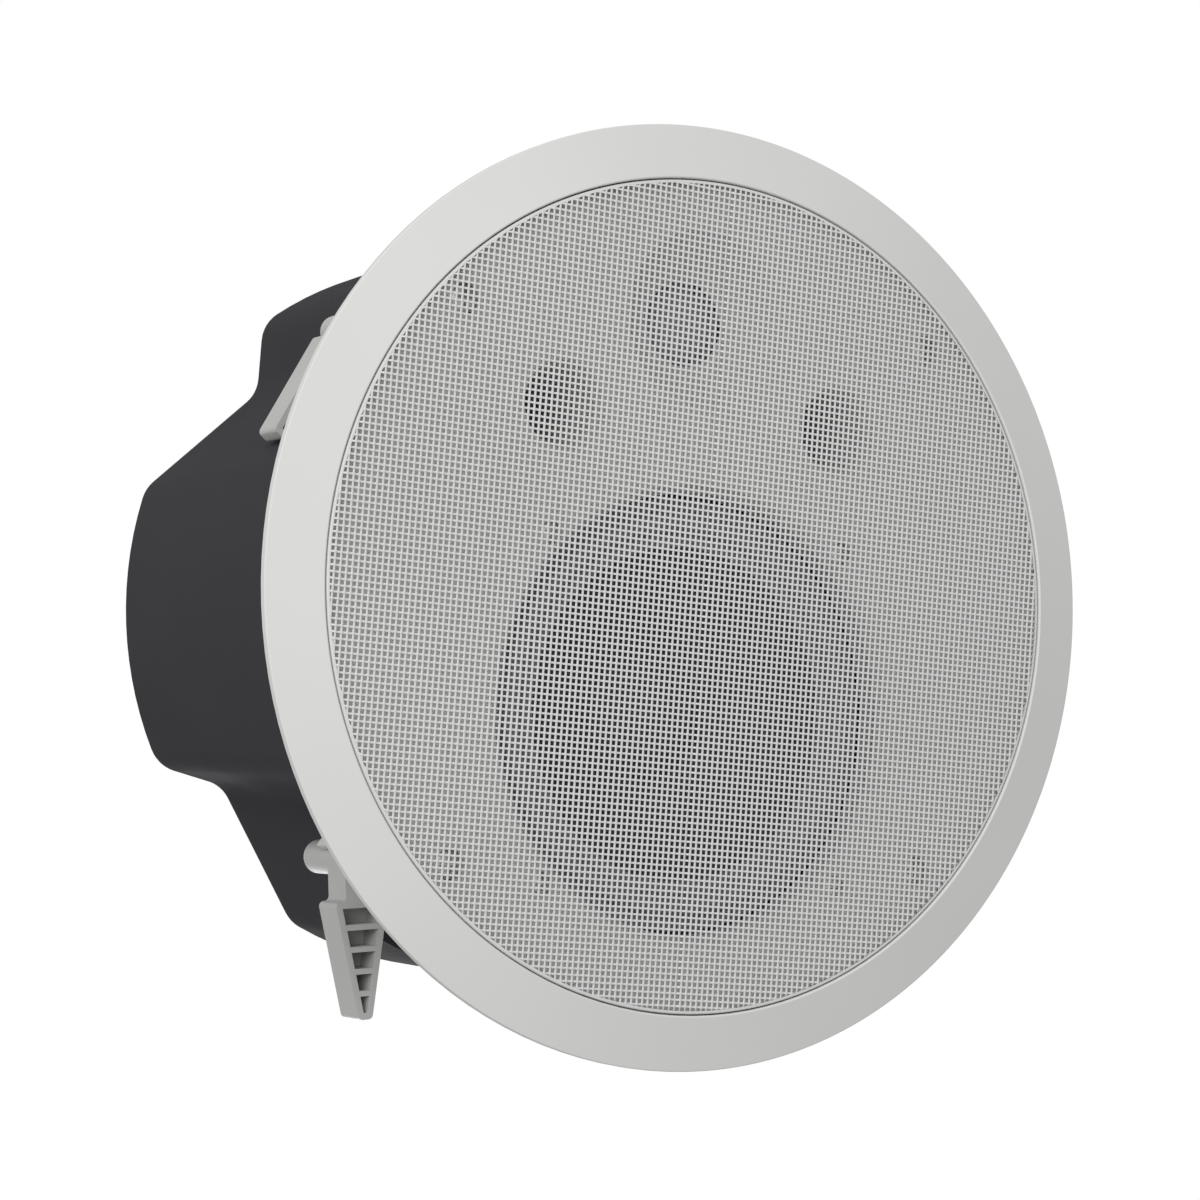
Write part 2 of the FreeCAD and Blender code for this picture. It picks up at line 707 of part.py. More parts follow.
def woofer_cone():
    body = new_body("woofer_cone")
    put(body, at_woofer(FLANGE_FRONT))
    spin(body, "cone_section", [
        ("coil_radius + coil_wall", "cone_depth"),
        ("coil_radius + coil_wall", "cone_depth - cone_wall"),
        ("cone_radius - surround_lip", "0"),
        ("cone_radius", "0"),
        ("cone_radius", "cone_wall"),
        ("cone_radius - surround_lip + cone_wall", "cone_wall"),
    ])
    return node(body, "woofer_cone")


def shallow_cap(name, spot, radius, rise, wall):
    """Spherical cap, domed downwards from its rim, of even wall."""
    ball = f"((({radius}) ^ 2 + ({rise}) ^ 2) / (2 * ({rise})))"
    x, y, z = spot
    centre = (x, y, f"{z} - ({rise}) + {ball}")
    outside = bind(put(doc.addObject("Part::Sphere", f"{name}_outside"), centre), Radius=ball)
    inside = bind(put(doc.addObject("Part::Sphere", f"{name}_inside"), centre), Radius=f"{ball} - ({wall})")
    shell = cut(f"{name}_shell", outside, inside)
    reach = rod(f"{name}_reach", (x, y, f"{z} - ({rise})"), radius, rise)
    return joined(name, "MultiCommon", [shell, reach])


def dust_cap():
    neck = "(coil_radius + coil_wall)"
    share = f"((dust_cap_radius - {neck}) / (cone_radius - surround_lip - {neck}))"
    rim = f"{CONE_REAR} - cone_wall - (cone_depth - cone_wall) * {share} - fit_clearance"
    cap = shallow_cap("dust_cap_shell", at_woofer(rim), "dust_cap_radius", "dust_cap_rise", "cone_wall")
    return node(cap, "dust_cap")


def voice_coil():
    start = f"{CONE_REAR} - cone_wall"
    return node(tube("voice_coil_tube", at_woofer(start), "coil_radius + coil_wall - glue_line",
                     "coil_radius", "coil_length"), "voice_coil")


def spider():
    """Corrugated cloth disc between the voice coil and the basket's foot."""
    body = new_body("spider")
    put(body, at_woofer(f"{FLANGE_FRONT} + basket_depth - spider_ledge - spider_wall"))
    start = "(coil_radius + coil_wall + fit_clearance)"
    ridge = [(f"{start} + (spider_seat - {start}) * {i} / {SPIDER_FOLDS}", "-spider_wave" if i % 2 else "0")
             for i in range(SPIDER_FOLDS + 1)]
    ridge.append(("basket_foot_radius - fit_clearance", "0"))
    back = [(x, f"{z} + spider_wall") for x, z in reversed(ridge)]
    spin(body, "corrugation", ridge + back)
    return node(body, "spider")


def top_plate():
    plate = tube("front_plate", at_woofer(PLATE_FRONT), "plate_radius", "coil_radius + coil_wall + coil_gap",
                 "plate_wall")
    return node(plate, "top_plate")


def woofer_magnet():
    ring = tube("ferrite_ring", at_woofer(MAGNET_FRONT), "magnet_radius", "magnet_bore", "magnet_height")
    return node(ring, "woofer_magnet")


def pole_yoke():
    body = new_body("pole_yoke")
    put(body, at_woofer(PLATE_FRONT))
    step = "plate_wall + magnet_height"
    spin(body, "yoke_section", [
        ("pole_vent", "0"),
        ("coil_radius - coil_gap", "0"),
        ("coil_radius - coil_gap", step),
        ("plate_radius", step),
        ("plate_radius", f"{step} + plate_wall"),
        ("pole_vent", f"{step} + plate_wall"),
    ])
    return node(body, "pole_yoke")


def woofer_screws():
    under_head = f"{BAFFLE_FRONT} + screw_head_height"
    length = f"{FLANGE_FRONT} + woofer_flange_wall * 2 - ({under_head})"
    screws = [screw(f"woofer_screw_{i}", (x, y, under_head), "woofer_screw_radius", length,
                    "screw_head_radius", "screw_head_height")
              for i, (x, y) in enumerate(corner_spots("woofer_screw_circle", "woofer_offset"))]
    return node(joined("woofer_screw_set", "Compound", screws), "woofer_screws")


# Tweeter
def at_tweeter(height):
    return ("0", "-tweeter_offset", height)


def tweeter_ring():
    body = new_body("tweeter_ring")
    put(body, at_tweeter(HORN_REAR))
    seat = "(dome_radius + tweeter_seat_reach)"
    spin(body, "ring_section", [
        ("horn_throat", "0"),
        ("tweeter_radius", "0"),
        ("tweeter_radius", "tweeter_ring_height"),
        (f"{seat} + fit_clearance", "tweeter_ring_height"),
        (f"{seat} + fit_clearance", "tweeter_seat_height"),
        (f"{seat} - tweeter_lip", "tweeter_seat_height"),
        ("horn_throat", "tweeter_throat_height"),
    ])
    return node(body, "tweeter_ring")


def tweeter_surround():
    """Small half-roll with a flat lip that lies on the ring's seat."""
    level = f"{DIAPHRAGM} + dome_wall"
    middle = "dome_radius + tweeter_roll_gap + tweeter_roll"
    outer = doc.addObject("Part::Torus", "tweeter_roll_outside")
    inner = doc.addObject("Part::Torus", "tweeter_roll_inside")
    for ring, size in ((outer, "tweeter_roll"), (inner, "tweeter_roll - dome_wall")):
        bind(put(ring, at_tweeter(level)), Radius1=middle, Radius2=size)
    roll = cut("tweeter_roll_hose", outer, inner)
    lower = rod("tweeter_roll_lower", at_tweeter(f"{level} - tweeter_roll"), "tweeter_radius", "tweeter_roll")
    half = joined("tweeter_roll_half", "MultiCommon", [roll, lower])
    lip = tube("tweeter_roll_lip", at_tweeter(DIAPHRAGM), "dome_radius + tweeter_seat_reach",
               f"{middle} + tweeter_roll - dome_wall", "dome_wall")
    return node(joined("tweeter_roll_piece", "MultiFuse", [half, lip]), "tweeter_surround")


def tweeter_dome():
    return node(shallow_cap("dome_shell", at_tweeter(DIAPHRAGM), "dome_radius", "dome_rise", "dome_wall"),
                "tweeter_dome")


def tweeter_coil():
    winding = tube("tweeter_coil_tube", at_tweeter(DIAPHRAGM), "dome_radius",
                   "dome_radius - tweeter_coil_wall", "tweeter_coil_length")
    return node(winding, "tweeter_coil")


def tweeter_motor():
    """Closed steel pot with a ring gap that the coil runs in."""
    body = new_body("tweeter_motor")
    put(body, at_tweeter(MOTOR_FRONT))
    spin(body, "pot", [
        ("0", "0"),
        ("dome_radius - tweeter_coil_wall - tweeter_coil_gap", "0"),
        ("dome_radius - tweeter_coil_wall - tweeter_coil_gap", "tweeter_coil_length"),
        ("dome_radius + tweeter_coil_gap", "tweeter_coil_length"),
        ("dome_radius + tweeter_coil_gap", "0"),
        ("motor_radius", "0"),
        ("motor_radius", "motor_height"),
        ("0", "motor_height"),
    ])
    return node(body, "tweeter_motor")


# Ports
def port_tube(side, sign):
    body = new_body(f"port_tube_{side}")
    put(body, (f"{sign}port_x", "-port_y", BAFFLE_FRONT))
    spin(body, f"port_wall_{side}", [
        ("port_radius + port_round", "0"),
        ("port_radius + port_wall", "0"),
        ("port_radius + port_wall", "port_length"),
        ("port_radius", "port_length"),
        ("port_radius", "port_round * 2"),
    ])
    return node(body, f"port_tube_{side}")


# Clamps
def clamp_spot(corner, height):
    angle = CLAMPS[corner][0]
    return (f"pivot_radius * cos({angle})", f"pivot_radius * sin({angle})", height)


def inner_half_width(along):
    """Half the width inside the wedge's side walls, at a distance along the arm."""
    taper = "(arm_base_half - arm_tip_half) / (arm_length - arm_shoulder)"
    return f"(arm_base_half - ({along} - arm_shoulder) * {taper} - arm_wall)"


def clamp_arm(corner):
    """Ribbed wedge on a long boss, modelled along +X of its own frame, which is the folded way."""
    corner_angle, swung = CLAMPS[corner]
    body = new_body(f"clamp_arm_{corner}")
    body.Placement = Placement(Vector(), Rotation(Vector(0, 0, 1), corner_angle - QUARTER - ARM_FOLD + swung))
    put(body, clamp_spot(corner, "arm_front"))
    profile = sketch_on(body, f"arm_outline_{corner}")
    outline(profile, [
        ("0", "boss_radius"),
        ("0", "-boss_radius"),
        ("arm_shoulder", "-boss_radius"),
        ("arm_shoulder", "-arm_base_half"),
        ("arm_length", "-arm_tip_half"),
        ("arm_length", "arm_tip_half"),
        ("arm_shoulder", "arm_base_half"),
        ("arm_shoulder", "boss_radius"),
    ])
    pad(body, f"arm_wedge_{corner}", profile, "arm_height")
    round_edges(body, f"arm_corners_{corner}", "arm_corner",
                lambda edge, solid: upright(edge, solid) and edge.Vertexes[0].X > SIZES["arm_shoulder"] / 2)
    drum(body, f"arm_boss_{corner}", "AdditiveCylinder", ("0", "0", "0"),
         Radius="boss_radius", Height="boss_height")
    round_edges(body, f"arm_boss_end_{corner}", "boss_round", topmost)
    cells = sketch_on(body, f"arm_cells_{corner}")
    pitch = f"((arm_length - arm_shoulder - 2 * arm_wall + arm_rib) / {ARM_POCKETS})"
    for cell in range(ARM_POCKETS):
        near = f"(arm_shoulder + arm_wall + {pitch} * {cell})"
        far = f"({near} + {pitch} - arm_rib)"
        wide = inner_half_width(near)
        narrow = inner_half_width(far)
        outline(cells, [(near, f"-{wide}"), (far, f"-{narrow}"), (far, narrow), (near, wide)])
    pocket(body, f"arm_pockets_{corner}", cells, "arm_height - arm_floor", upwards=True)
    drum(body, f"arm_bore_{corner}", "SubtractiveCylinder", ("0", "0", "0"),
         Radius="clamp_screw_radius + shaft_clearance", Height="boss_height")
    drum(body, f"arm_insert_seat_{corner}", "SubtractiveCylinder", ("0", "0", "boss_height - insert_length"),
         Radius="insert_radius + shaft_clearance", Height="insert_length")
    return node(body, f"clamp_arm_{corner}")


def clamp_insert(corner):
    spot = clamp_spot(corner, "arm_front + boss_height - insert_length + fit_clearance")
    sleeve = tube(f"threaded_insert_{corner}", spot, "insert_radius", "clamp_screw_radius + shaft_clearance",
                  "insert_length - fit_clearance")
    return node(sleeve, f"clamp_insert_{corner}")


def clamp_screw(corner):
    spot = clamp_spot(corner, f"{BAFFLE_FRONT} + head_sink + clamp_head_height - fit_clearance")
    return node(screw(f"clamp_screw_body_{corner}", spot, "clamp_screw_radius", "clamp_screw_length",
                      "clamp_head_radius", "clamp_head_height - 2 * fit_clearance"), f"clamp_screw_{corner}")


# Crossover and terminals
def board_corners():
    x = "(board_length / 2 - post_inset)"
    y = "(board_width / 2 - post_inset)"
    return [(f"{sx}{x}", f"{sy}{y}") for sx in ("-", "") for sy in ("-", "")]


def crossover_board():
    plate = block("board_plate", ("-board_length / 2", "-board_width / 2", f"{BOARD_REAR} - board_wall"),
                  "board_length", "board_width", "board_wall")
    holes = joined("board_holes", "MultiFuse", [
        rod(f"board_hole_{i}", (x, y, f"{BOARD_REAR} - board_wall"), "board_screw_radius + fit_clearance",
            "board_wall") for i, (x, y) in enumerate(board_corners())])
    return node(cut("board", plate, holes), "crossover_board")


def crossover_inductor():
    spot = ("-inductor_x", "0", f"{BOARD_REAR} - board_wall - inductor_height")
    coil = tube("inductor", spot, "inductor_radius", "inductor_bore", "inductor_height")
    return node(coil, "crossover_inductor")


def crossover_capacitors():
    cans = []
    for sign in ("", "-"):
        spot = ("capacitor_x", f"{sign}(capacitor_radius + capacitor_gap / 2)",
                f"{BOARD_REAR} - board_wall - capacitor_radius")
        can = rod(f"capacitor_{len(cans)}", spot, "capacitor_radius", "capacitor_length")
        can.Placement = Placement(can.Placement.Base, Rotation(Vector(0, 1, 0), QUARTER))
        cans.append(can)
    return node(joined("capacitor_pair", "Compound", cans), "crossover_capacitors")


def board_screws():
    screws = [screw(f"board_screw_{i}", (x, y, f"{BOARD_REAR} - board_wall"), "board_screw_radius",
                    "board_screw_length", "can_head_radius", "can_head_height")
              for i, (x, y) in enumerate(board_corners())]
    return node(joined("board_screw_set", "Compound", screws), "board_screws")


def pole_spots():
    return [f"({i} - {(TERMINAL_POLES - 1) / 2}) * terminal_pitch" for i in range(TERMINAL_POLES)]


def terminal_block():
    body = new_body("terminal_block")
    put(body, ("0", "0", CAN_REAR))
    foot = sketch_on(body, "terminal_foot")
    half_length = "terminal_length / 2"
    half_width = "terminal_width / 2"
    outline(foot, [(f"-{half_length}", f"-{half_width}"), (half_length, f"-{half_width}"),
                   (half_length, half_width), (f"-{half_length}", half_width)])
    pad(body, "terminal_body", foot, "terminal_height")
    wells = sketch_on(body, "terminal_wells", shift=("0", "0", "terminal_height"))
    entries = sketch_on(body, "terminal_entries", "XZ_Plane", ("0", "0", f"-({half_width})"))
    for x in pole_spots():
        circle(wells, x, "0", "terminal_screw_radius + fit_clearance")
        circle(entries, x, "terminal_entry_height", "terminal_entry")
    pocket(body, "terminal_well_cut", wells, "terminal_well_depth")
    pocket(body, "terminal_entry_cut", entries, "terminal_entry_depth", upwards=True)
    return node(body, "terminal_block")


def terminal_screws():
    foot = f"{CAN_REAR} + terminal_height - terminal_well_depth"
    screws = [rod(f"terminal_screw_{i}", (x, "0", foot), "terminal_screw_radius", "terminal_screw_length")
              for i, x in enumerate(pole_spots())]
    return node(joined("terminal_screw_set", "Compound", screws), "terminal_screws")


def build():
    for make in (front_frame, grille, back_can, can_gasket, can_screws,
                 woofer_gasket, woofer_basket, woofer_surround, woofer_cone, dust_cap, voice_coil, spider,
                 top_plate, woofer_magnet, pole_yoke, woofer_screws,
                 tweeter_ring, tweeter_surround, tweeter_dome, tweeter_coil, tweeter_motor):
        make()
    port_tube("left", "-")
    port_tube("right", "")
    for corner in CLAMPS:
        clamp_arm(corner)
        clamp_insert(corner)
        clamp_screw(corner)
    for make in (crossover_board, crossover_inductor, crossover_capacitors, board_screws,
                 terminal_block, terminal_screws):
        make()
    doc.recompute()


def check():
    for thing in doc.Objects:
        if "Invalid" in thing.State or "Error" in thing.State:
            raise RuntimeError(f"{thing.Name} did not build: {thing.State}")
    for thing in nodes:
        if thing.Shape.isNull() or not thing.Shape.isValid():
            raise RuntimeError(f"{thing.Label} has no valid shape")


build()
check()
os.makedirs("parts", exist_ok=True)
for thing in nodes:
    thing.Shape.exportStep(f"parts/{thing.Label}.step")
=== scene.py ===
"""Looks of a two-way ceiling speaker: finishes, perforated grille, turned screws and a studio stage.

Metres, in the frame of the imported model: +Z points up into the ceiling void, the grille faces down,
-Y is the tweeter's side and +X is the right-hand side seen from below.
"""
import json
import math
from collections import namedtuple

import bmesh
import bpy
import numpy as np
from bpy.props import FloatProperty, FloatVectorProperty, IntProperty, PointerProperty
from bpy.types import Operator, Panel, PropertyGroup
from mathutils import Matrix, Vector

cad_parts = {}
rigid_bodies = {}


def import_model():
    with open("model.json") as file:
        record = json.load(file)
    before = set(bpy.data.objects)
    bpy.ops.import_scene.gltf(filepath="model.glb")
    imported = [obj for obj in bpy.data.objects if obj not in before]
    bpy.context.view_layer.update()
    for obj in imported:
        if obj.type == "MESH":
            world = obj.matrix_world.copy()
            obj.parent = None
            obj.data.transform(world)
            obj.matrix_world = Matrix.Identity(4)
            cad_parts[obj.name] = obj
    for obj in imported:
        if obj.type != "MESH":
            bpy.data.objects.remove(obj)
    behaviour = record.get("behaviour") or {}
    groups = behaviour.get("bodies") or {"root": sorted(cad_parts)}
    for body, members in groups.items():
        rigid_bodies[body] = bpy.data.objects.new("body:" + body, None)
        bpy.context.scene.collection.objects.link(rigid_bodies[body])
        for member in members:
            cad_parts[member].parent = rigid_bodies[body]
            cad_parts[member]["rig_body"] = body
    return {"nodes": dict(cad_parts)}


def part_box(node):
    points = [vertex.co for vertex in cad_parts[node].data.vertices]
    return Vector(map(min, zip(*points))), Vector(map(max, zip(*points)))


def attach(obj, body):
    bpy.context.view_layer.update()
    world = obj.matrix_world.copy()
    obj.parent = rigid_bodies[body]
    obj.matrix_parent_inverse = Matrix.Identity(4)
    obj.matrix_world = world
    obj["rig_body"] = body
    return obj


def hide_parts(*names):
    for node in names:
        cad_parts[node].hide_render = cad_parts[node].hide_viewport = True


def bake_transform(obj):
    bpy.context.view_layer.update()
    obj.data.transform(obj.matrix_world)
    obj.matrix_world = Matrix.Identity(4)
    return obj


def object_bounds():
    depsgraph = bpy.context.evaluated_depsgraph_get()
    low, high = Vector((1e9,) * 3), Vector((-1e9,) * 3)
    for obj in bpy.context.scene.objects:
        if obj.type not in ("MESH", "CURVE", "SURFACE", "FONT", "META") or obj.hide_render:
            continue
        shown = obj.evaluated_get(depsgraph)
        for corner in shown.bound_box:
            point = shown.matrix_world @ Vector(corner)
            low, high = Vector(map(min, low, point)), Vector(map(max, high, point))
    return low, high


bl_info = {
    "name": "Ceiling Speaker Dresser",
    "version": (1, 0, 0),
    "blender": (4, 5, 0),
    "location": "View3D > Sidebar > Speaker",
    "description": "Finishes, perforated grille, screws and stage for a packed ceiling speaker",
    "category": "Object",
}

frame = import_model()
CAD_BOX = [list(corner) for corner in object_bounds()]

CLAMP_CORNERS = ("upper_left", "upper_right", "lower_right", "lower_left")
EFFECT_OUTPUTS = ("Height", "Roughness", "Tone")
WHITE = (1.0, 1.0, 1.0, 1.0)
MILLIMETRE = 0.001
WELD_DISTANCE = 1e-6
SMOOTH_LIMIT = math.radians(32)
SHARP_LIMIT = math.radians(40)
FLAT_LIMIT = math.radians(0.5)
LEAST_FOLD = 0.25  # inner radius of the sharpest fold, of the sheet's thickness
MARK_STRETCH = (0.15, 0.15, 1.0)  # lathe marks are long across Z

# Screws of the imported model
Screw = namedtuple("Screw", "head_height shank_radius")
CLAMP_SCREW = Screw(2.8 * MILLIMETRE, 2.5 * MILLIMETRE)
LIP_SCREW = Screw(1.8 * MILLIMETRE, 1.4 * MILLIMETRE)
BASKET_SCREW = Screw(2.0 * MILLIMETRE, 1.9 * MILLIMETRE)
TERMINAL_SCREW = Screw(1.0 * MILLIMETRE, 1.8 * MILLIMETRE)

GRILLE_LOW, GRILLE_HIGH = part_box("grille")


def colour(name, words, value):
    """A colour that a user may change."""
    return FloatVectorProperty(name=name, description=words, subtype="COLOR", size=3,
                               min=0.0, max=1.0, default=value)


def length(name, words, millimetres):
    """A size that a user may change, given in millimetres and kept in metres."""
    return FloatProperty(name=name, description=words, unit="LENGTH", precision=5, min=0.0,
                         default=millimetres * MILLIMETRE)


def factor(name, words, value):
    """A share from 0 to 1 that a user may change."""
    return FloatProperty(name=name, description=words, subtype="FACTOR", min=0.0, max=1.0, default=value)


def count(name, words, value, least):
    """A whole number that a user may change, with its least value."""
    return IntProperty(name=name, description=words, min=least, default=value)


# Settings that a user would change
class SpeakerColours(PropertyGroup):
    bezel: colour("Bezel", "Moulded front frame", (0.69, 0.69, 0.675))
    grille: colour("Grille", "Powder coat of the perforated sheet", (0.66, 0.67, 0.66))
    can: colour("Back can", "Moulded back can", (0.0530, 0.0522, 0.0568))
    clamp: colour("Clamps", "Moulded clamp arms", (0.455, 0.455, 0.443))
    foam: colour("Foam", "Gaskets", (0.018, 0.018, 0.018))
    zinc: colour("Zinc", "Plated screws and steel parts", (0.62, 0.61, 0.58))
    basket: colour("Basket", "Painted woofer basket", (0.02, 0.02, 0.021))
    rubber: colour("Rubber", "Woofer surround", (0.26, 0.26, 0.264))
    paper: colour("Cone", "Woofer cone and dust cap", (0.071, 0.072, 0.075))
    copper: colour("Copper", "Windings", (0.60, 0.28, 0.12))
    cloth: colour("Damper cloth", "Woofer spider", (0.46, 0.31, 0.12))
    ferrite: colour("Ferrite", "Woofer magnet", (0.045, 0.045, 0.047))
    black_plastic: colour("Black plastic", "Tweeter ring and terminal block", (0.02, 0.02, 0.021))
    port: colour("Ports", "Moulded port tubes", (0.66, 0.66, 0.645))
    silk: colour("Silk", "Tweeter dome", (0.33, 0.33, 0.336))
    brass: colour("Brass", "Threaded inserts", (0.66, 0.47, 0.17))
    board: colour("Board", "Crossover board", (0.03, 0.16, 0.06))
    film: colour("Film", "Capacitor sleeves", (0.55, 0.38, 0.06))
    floor: colour("Floor", "Studio floor", (0.86, 0.86, 0.86))


class GrilleSizes(PropertyGroup):
    pitch: length("Hole pitch", "Distance between the middles of two holes", 2.0)
    hole: length("Hole width", "Side of a square hole", 1.38)
    sheet: length("Sheet", "Thickness of the steel sheet", 0.5)
    border: length("Border", "Plain steel between the last holes and the rim", 1.0)
    bend: length("Bend", "Outer radius of the folded rim", 0.6)
    bend_steps: count("Bend steps", "Points along the fold", 5, 2)
    turn: FloatProperty(name="Turn", description="Rows of holes against the speaker's own axes",
                        subtype="ANGLE", default=math.radians(3.0))


class ScrewSizes(PropertyGroup):
    thread_pitch: length("Thread pitch", "Rise of the clamp screw's thread in one turn", 2.0)
    thread_depth: length("Thread depth", "Depth of the clamp screw's thread", 0.42)
    thread_rows: count("Thread rows", "Rows of faces in one turn", 10, 4)
    spokes: count("Spokes", "Faces round a screw", 40, 8)
    crown_rows: count("Crown rows", "Rows of points from the middle of a head to its edge", 13, 2)
    crown: factor("Crown", "Share of a head's height that is domed", 0.45)
    recess_reach: factor("Recess reach", "Length of a cross slot, of the head's radius", 0.62)
    recess_width: factor("Recess width", "Width of a cross slot, of the head's radius", 0.26)
    recess_depth: factor("Recess depth", "Depth of a cross slot, of the head's height", 0.6)


class EdgeSizes(PropertyGroup):
    clamp: length("Clamp edge", "Rounding of the clamp arms' sharp edges", 0.5)
    terminal: length("Terminal edge", "Rounding of the terminal block's sharp edges", 0.4)
    steps: count("Edge steps", "Facets of a rounded edge", 2, 1)


class SurroundSizes(PropertyGroup):
    wall: length("Wall", "Thickness of the rubber", 0.8)
    sectors: count("Sectors", "Pieces that bend between the basket and the cone", 16, 12)
    arc_steps: count("Arc steps", "Facets across the roll", 20, 4)
    turn_steps: count("Turn steps", "Facets along a sector", 6, 1)


class StageSettings(PropertyGroup):
    camera_place: FloatVectorProperty(name="Camera place", description="Where the camera stands",
                                      subtype="TRANSLATION", default=(-0.5426, 0.0682, -0.8785))
    camera_aim: FloatVectorProperty(name="Camera aim", description="Point in the middle of the picture",
                                    subtype="TRANSLATION", default=(-0.0392, 0.0038, -0.0072))
    camera_up: FloatVectorProperty(name="Camera up", description="Direction of the picture's upper edge",
                                   subtype="DIRECTION", default=(-0.05442, -0.99763, -0.04229))
    lens: FloatProperty(name="Lens", description="Focal length on a full-frame sensor", unit="CAMERA",
                        default=96.42)
    daylight: FloatProperty(name="Surround light", description="Even light from all sides", default=0.45)
    key_place: FloatVectorProperty(name="Key place", description="Where the lamp on the grille's side hangs",
                                   subtype="TRANSLATION", default=(-1.55, -0.84, -1.5))
    key_power: FloatProperty(name="Key lamp", description="Power of the lamp on the grille's side",
                             unit="POWER", default=40.5)
    sky_from: FloatVectorProperty(name="Sky light", description="Where the light on the can comes from",
                                  subtype="DIRECTION", default=(0.5, 0.35, 1.0))
    sky_power: FloatProperty(name="Sky power", description="Strength of the light on the can", default=2.2)
    sky_spread: FloatProperty(name="Sky spread", description="Width of the light on the can", subtype="ANGLE",
                              default=math.radians(50.0))
    floor_half: length("Floor", "Half the side of the floor", 12000.0)
    floor_roughness: factor("Floor roughness", "Roughness of the floor", 0.9)
    floor_gloss: factor("Floor gloss", "Strength of the floor's reflections", 0.1)


class SpeakerSettings(PropertyGroup):
    colours: PointerProperty(name="Colours", description="Base colours of the finishes", type=SpeakerColours)
    grille: PointerProperty(name="Grille", description="Sizes of the perforated sheet", type=GrilleSizes)
    screws: PointerProperty(name="Screws", description="Shapes of heads and threads", type=ScrewSizes)
    edges: PointerProperty(name="Edges", description="Rounding of moulded edges", type=EdgeSizes)
    surround: PointerProperty(name="Surround", description="Woofer's half-roll", type=SurroundSizes)
    stage: PointerProperty(name="Stage", description="Camera, lamps and floor", type=StageSettings)


def settings():
    """The speaker's settings in the open scene."""
    return bpy.context.scene.speaker


# Meshes from arrays
def grid_faces(rows, columns, closed=False):
    """Quads between neighbouring points of a grid that is numbered row by row.

    With closed, the last column joins the first.
    """
    start = np.arange(rows - 1)[:, None] * columns
    above = start + columns
    column = np.arange(columns if closed else columns - 1)[None, :]
    after = (column + 1) % columns
    corners = (start + column, start + after, above + after, above + column)
    return np.stack(np.broadcast_arrays(*corners), axis=-1).reshape(-1, 4)


def mesh_of(name, points, quads):
    """A mesh from an array of points and an array of four-cornered faces, welded and facing outwards."""
    mesh = bpy.data.meshes.new(name)
    mesh.vertices.add(len(points))
    mesh.vertices.foreach_set("co", np.asarray(points, np.float32).ravel())
    mesh.loops.add(quads.size)
    mesh.loops.foreach_set("vertex_index", np.asarray(quads, np.int32).ravel())
    mesh.polygons.add(len(quads))
    mesh.polygons.foreach_set("loop_start", np.arange(0, quads.size, 4, dtype=np.int32))
    mesh.update(calc_edges=True)
    mesh.validate()
    shape = bmesh.new()
    shape.from_mesh(mesh)
    bmesh.ops.remove_doubles(shape, verts=shape.verts, dist=WELD_DISTANCE)
    bmesh.ops.recalc_face_normals(shape, faces=shape.faces)
    shape.to_mesh(mesh)
    shape.free()
    return mesh


def add_object(data):
    """An object in the scene for a mesh, lamp or camera, with its name."""
    thing = bpy.data.objects.new(data.name, data)
    bpy.context.scene.collection.objects.link(thing)
    return thing


def dressed_object(mesh, finish, smooth=True):
    """An object for a mesh, with its finish."""
    if smooth:
        mesh.shade_smooth()
        mesh.set_sharp_from_angle(angle=SMOOTH_LIMIT)
    mesh.materials.append(finish)
    return add_object(mesh)


def in_place_of(node, mesh, finish, smooth=True):
    """An object for a mesh that replaces a node, with the node's body and the given finish."""
    piece = dressed_object(mesh, finish, smooth)
    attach(piece, frame["nodes"][node]["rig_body"])
    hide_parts(node)
    return piece


def softened(node, finish, width):
    """A copy of a node with its flat facets merged and its sharp edges rounded, in the node's place."""
    shape = bmesh.new()
    shape.from_mesh(frame["nodes"][node].data)
    bmesh.ops.remove_doubles(shape, verts=shape.verts, dist=WELD_DISTANCE)
    bmesh.ops.dissolve_limit(shape, angle_limit=FLAT_LIMIT, verts=shape.verts, edges=shape.edges)
    mesh = bpy.data.meshes.new(f"softened_{node}")
    shape.to_mesh(mesh)
    shape.free()
    bevel = in_place_of(node, mesh, finish).modifiers.new("soft_edges", "BEVEL")
    bevel.width = width
    bevel.segments = settings().edges.steps
    bevel.limit_method = "ANGLE"
    bevel.angle_limit = SHARP_LIMIT


def dress(finish, *nodes):
    """Give CAD nodes a finish."""
    for name in nodes:
        node = frame["nodes"][name]
        if not node.material_slots:
            node.data.materials.append(finish)
        for slot in node.material_slots:
            slot.material = finish


# Shared effects as node groups
def feed(tree, value, socket):
    """Give a socket a number, or link another socket to it."""
    if isinstance(value, (int, float)):
        socket.default_value = value
    else:
        tree.links.new(value, socket)


def new_group(name, **inputs):
    """A shader node group with the outputs of an effect, its input sockets and the object's coordinates.

    Each named value becomes an input with that default.
    """
    group = bpy.data.node_groups.new(name, "ShaderNodeTree")
    for label, default in inputs.items():
        socket = group.interface.new_socket(name=label, in_out="INPUT", socket_type="NodeSocketFloat")
        socket.default_value = default
    for label in EFFECT_OUTPUTS:
        group.interface.new_socket(name=label, in_out="OUTPUT", socket_type="NodeSocketFloat")
    place = group.nodes.new("ShaderNodeTexCoord").outputs["Object"]
    return group, group.nodes.new("NodeGroupInput").outputs, place


def deliver(group, *values):
    """Link an effect's height, roughness and tone to its outputs."""
    result = group.nodes.new("NodeGroupOutput")
    for label, value in zip(EFFECT_OUTPUTS, values):
        group.links.new(value, result.inputs[label])
    return group


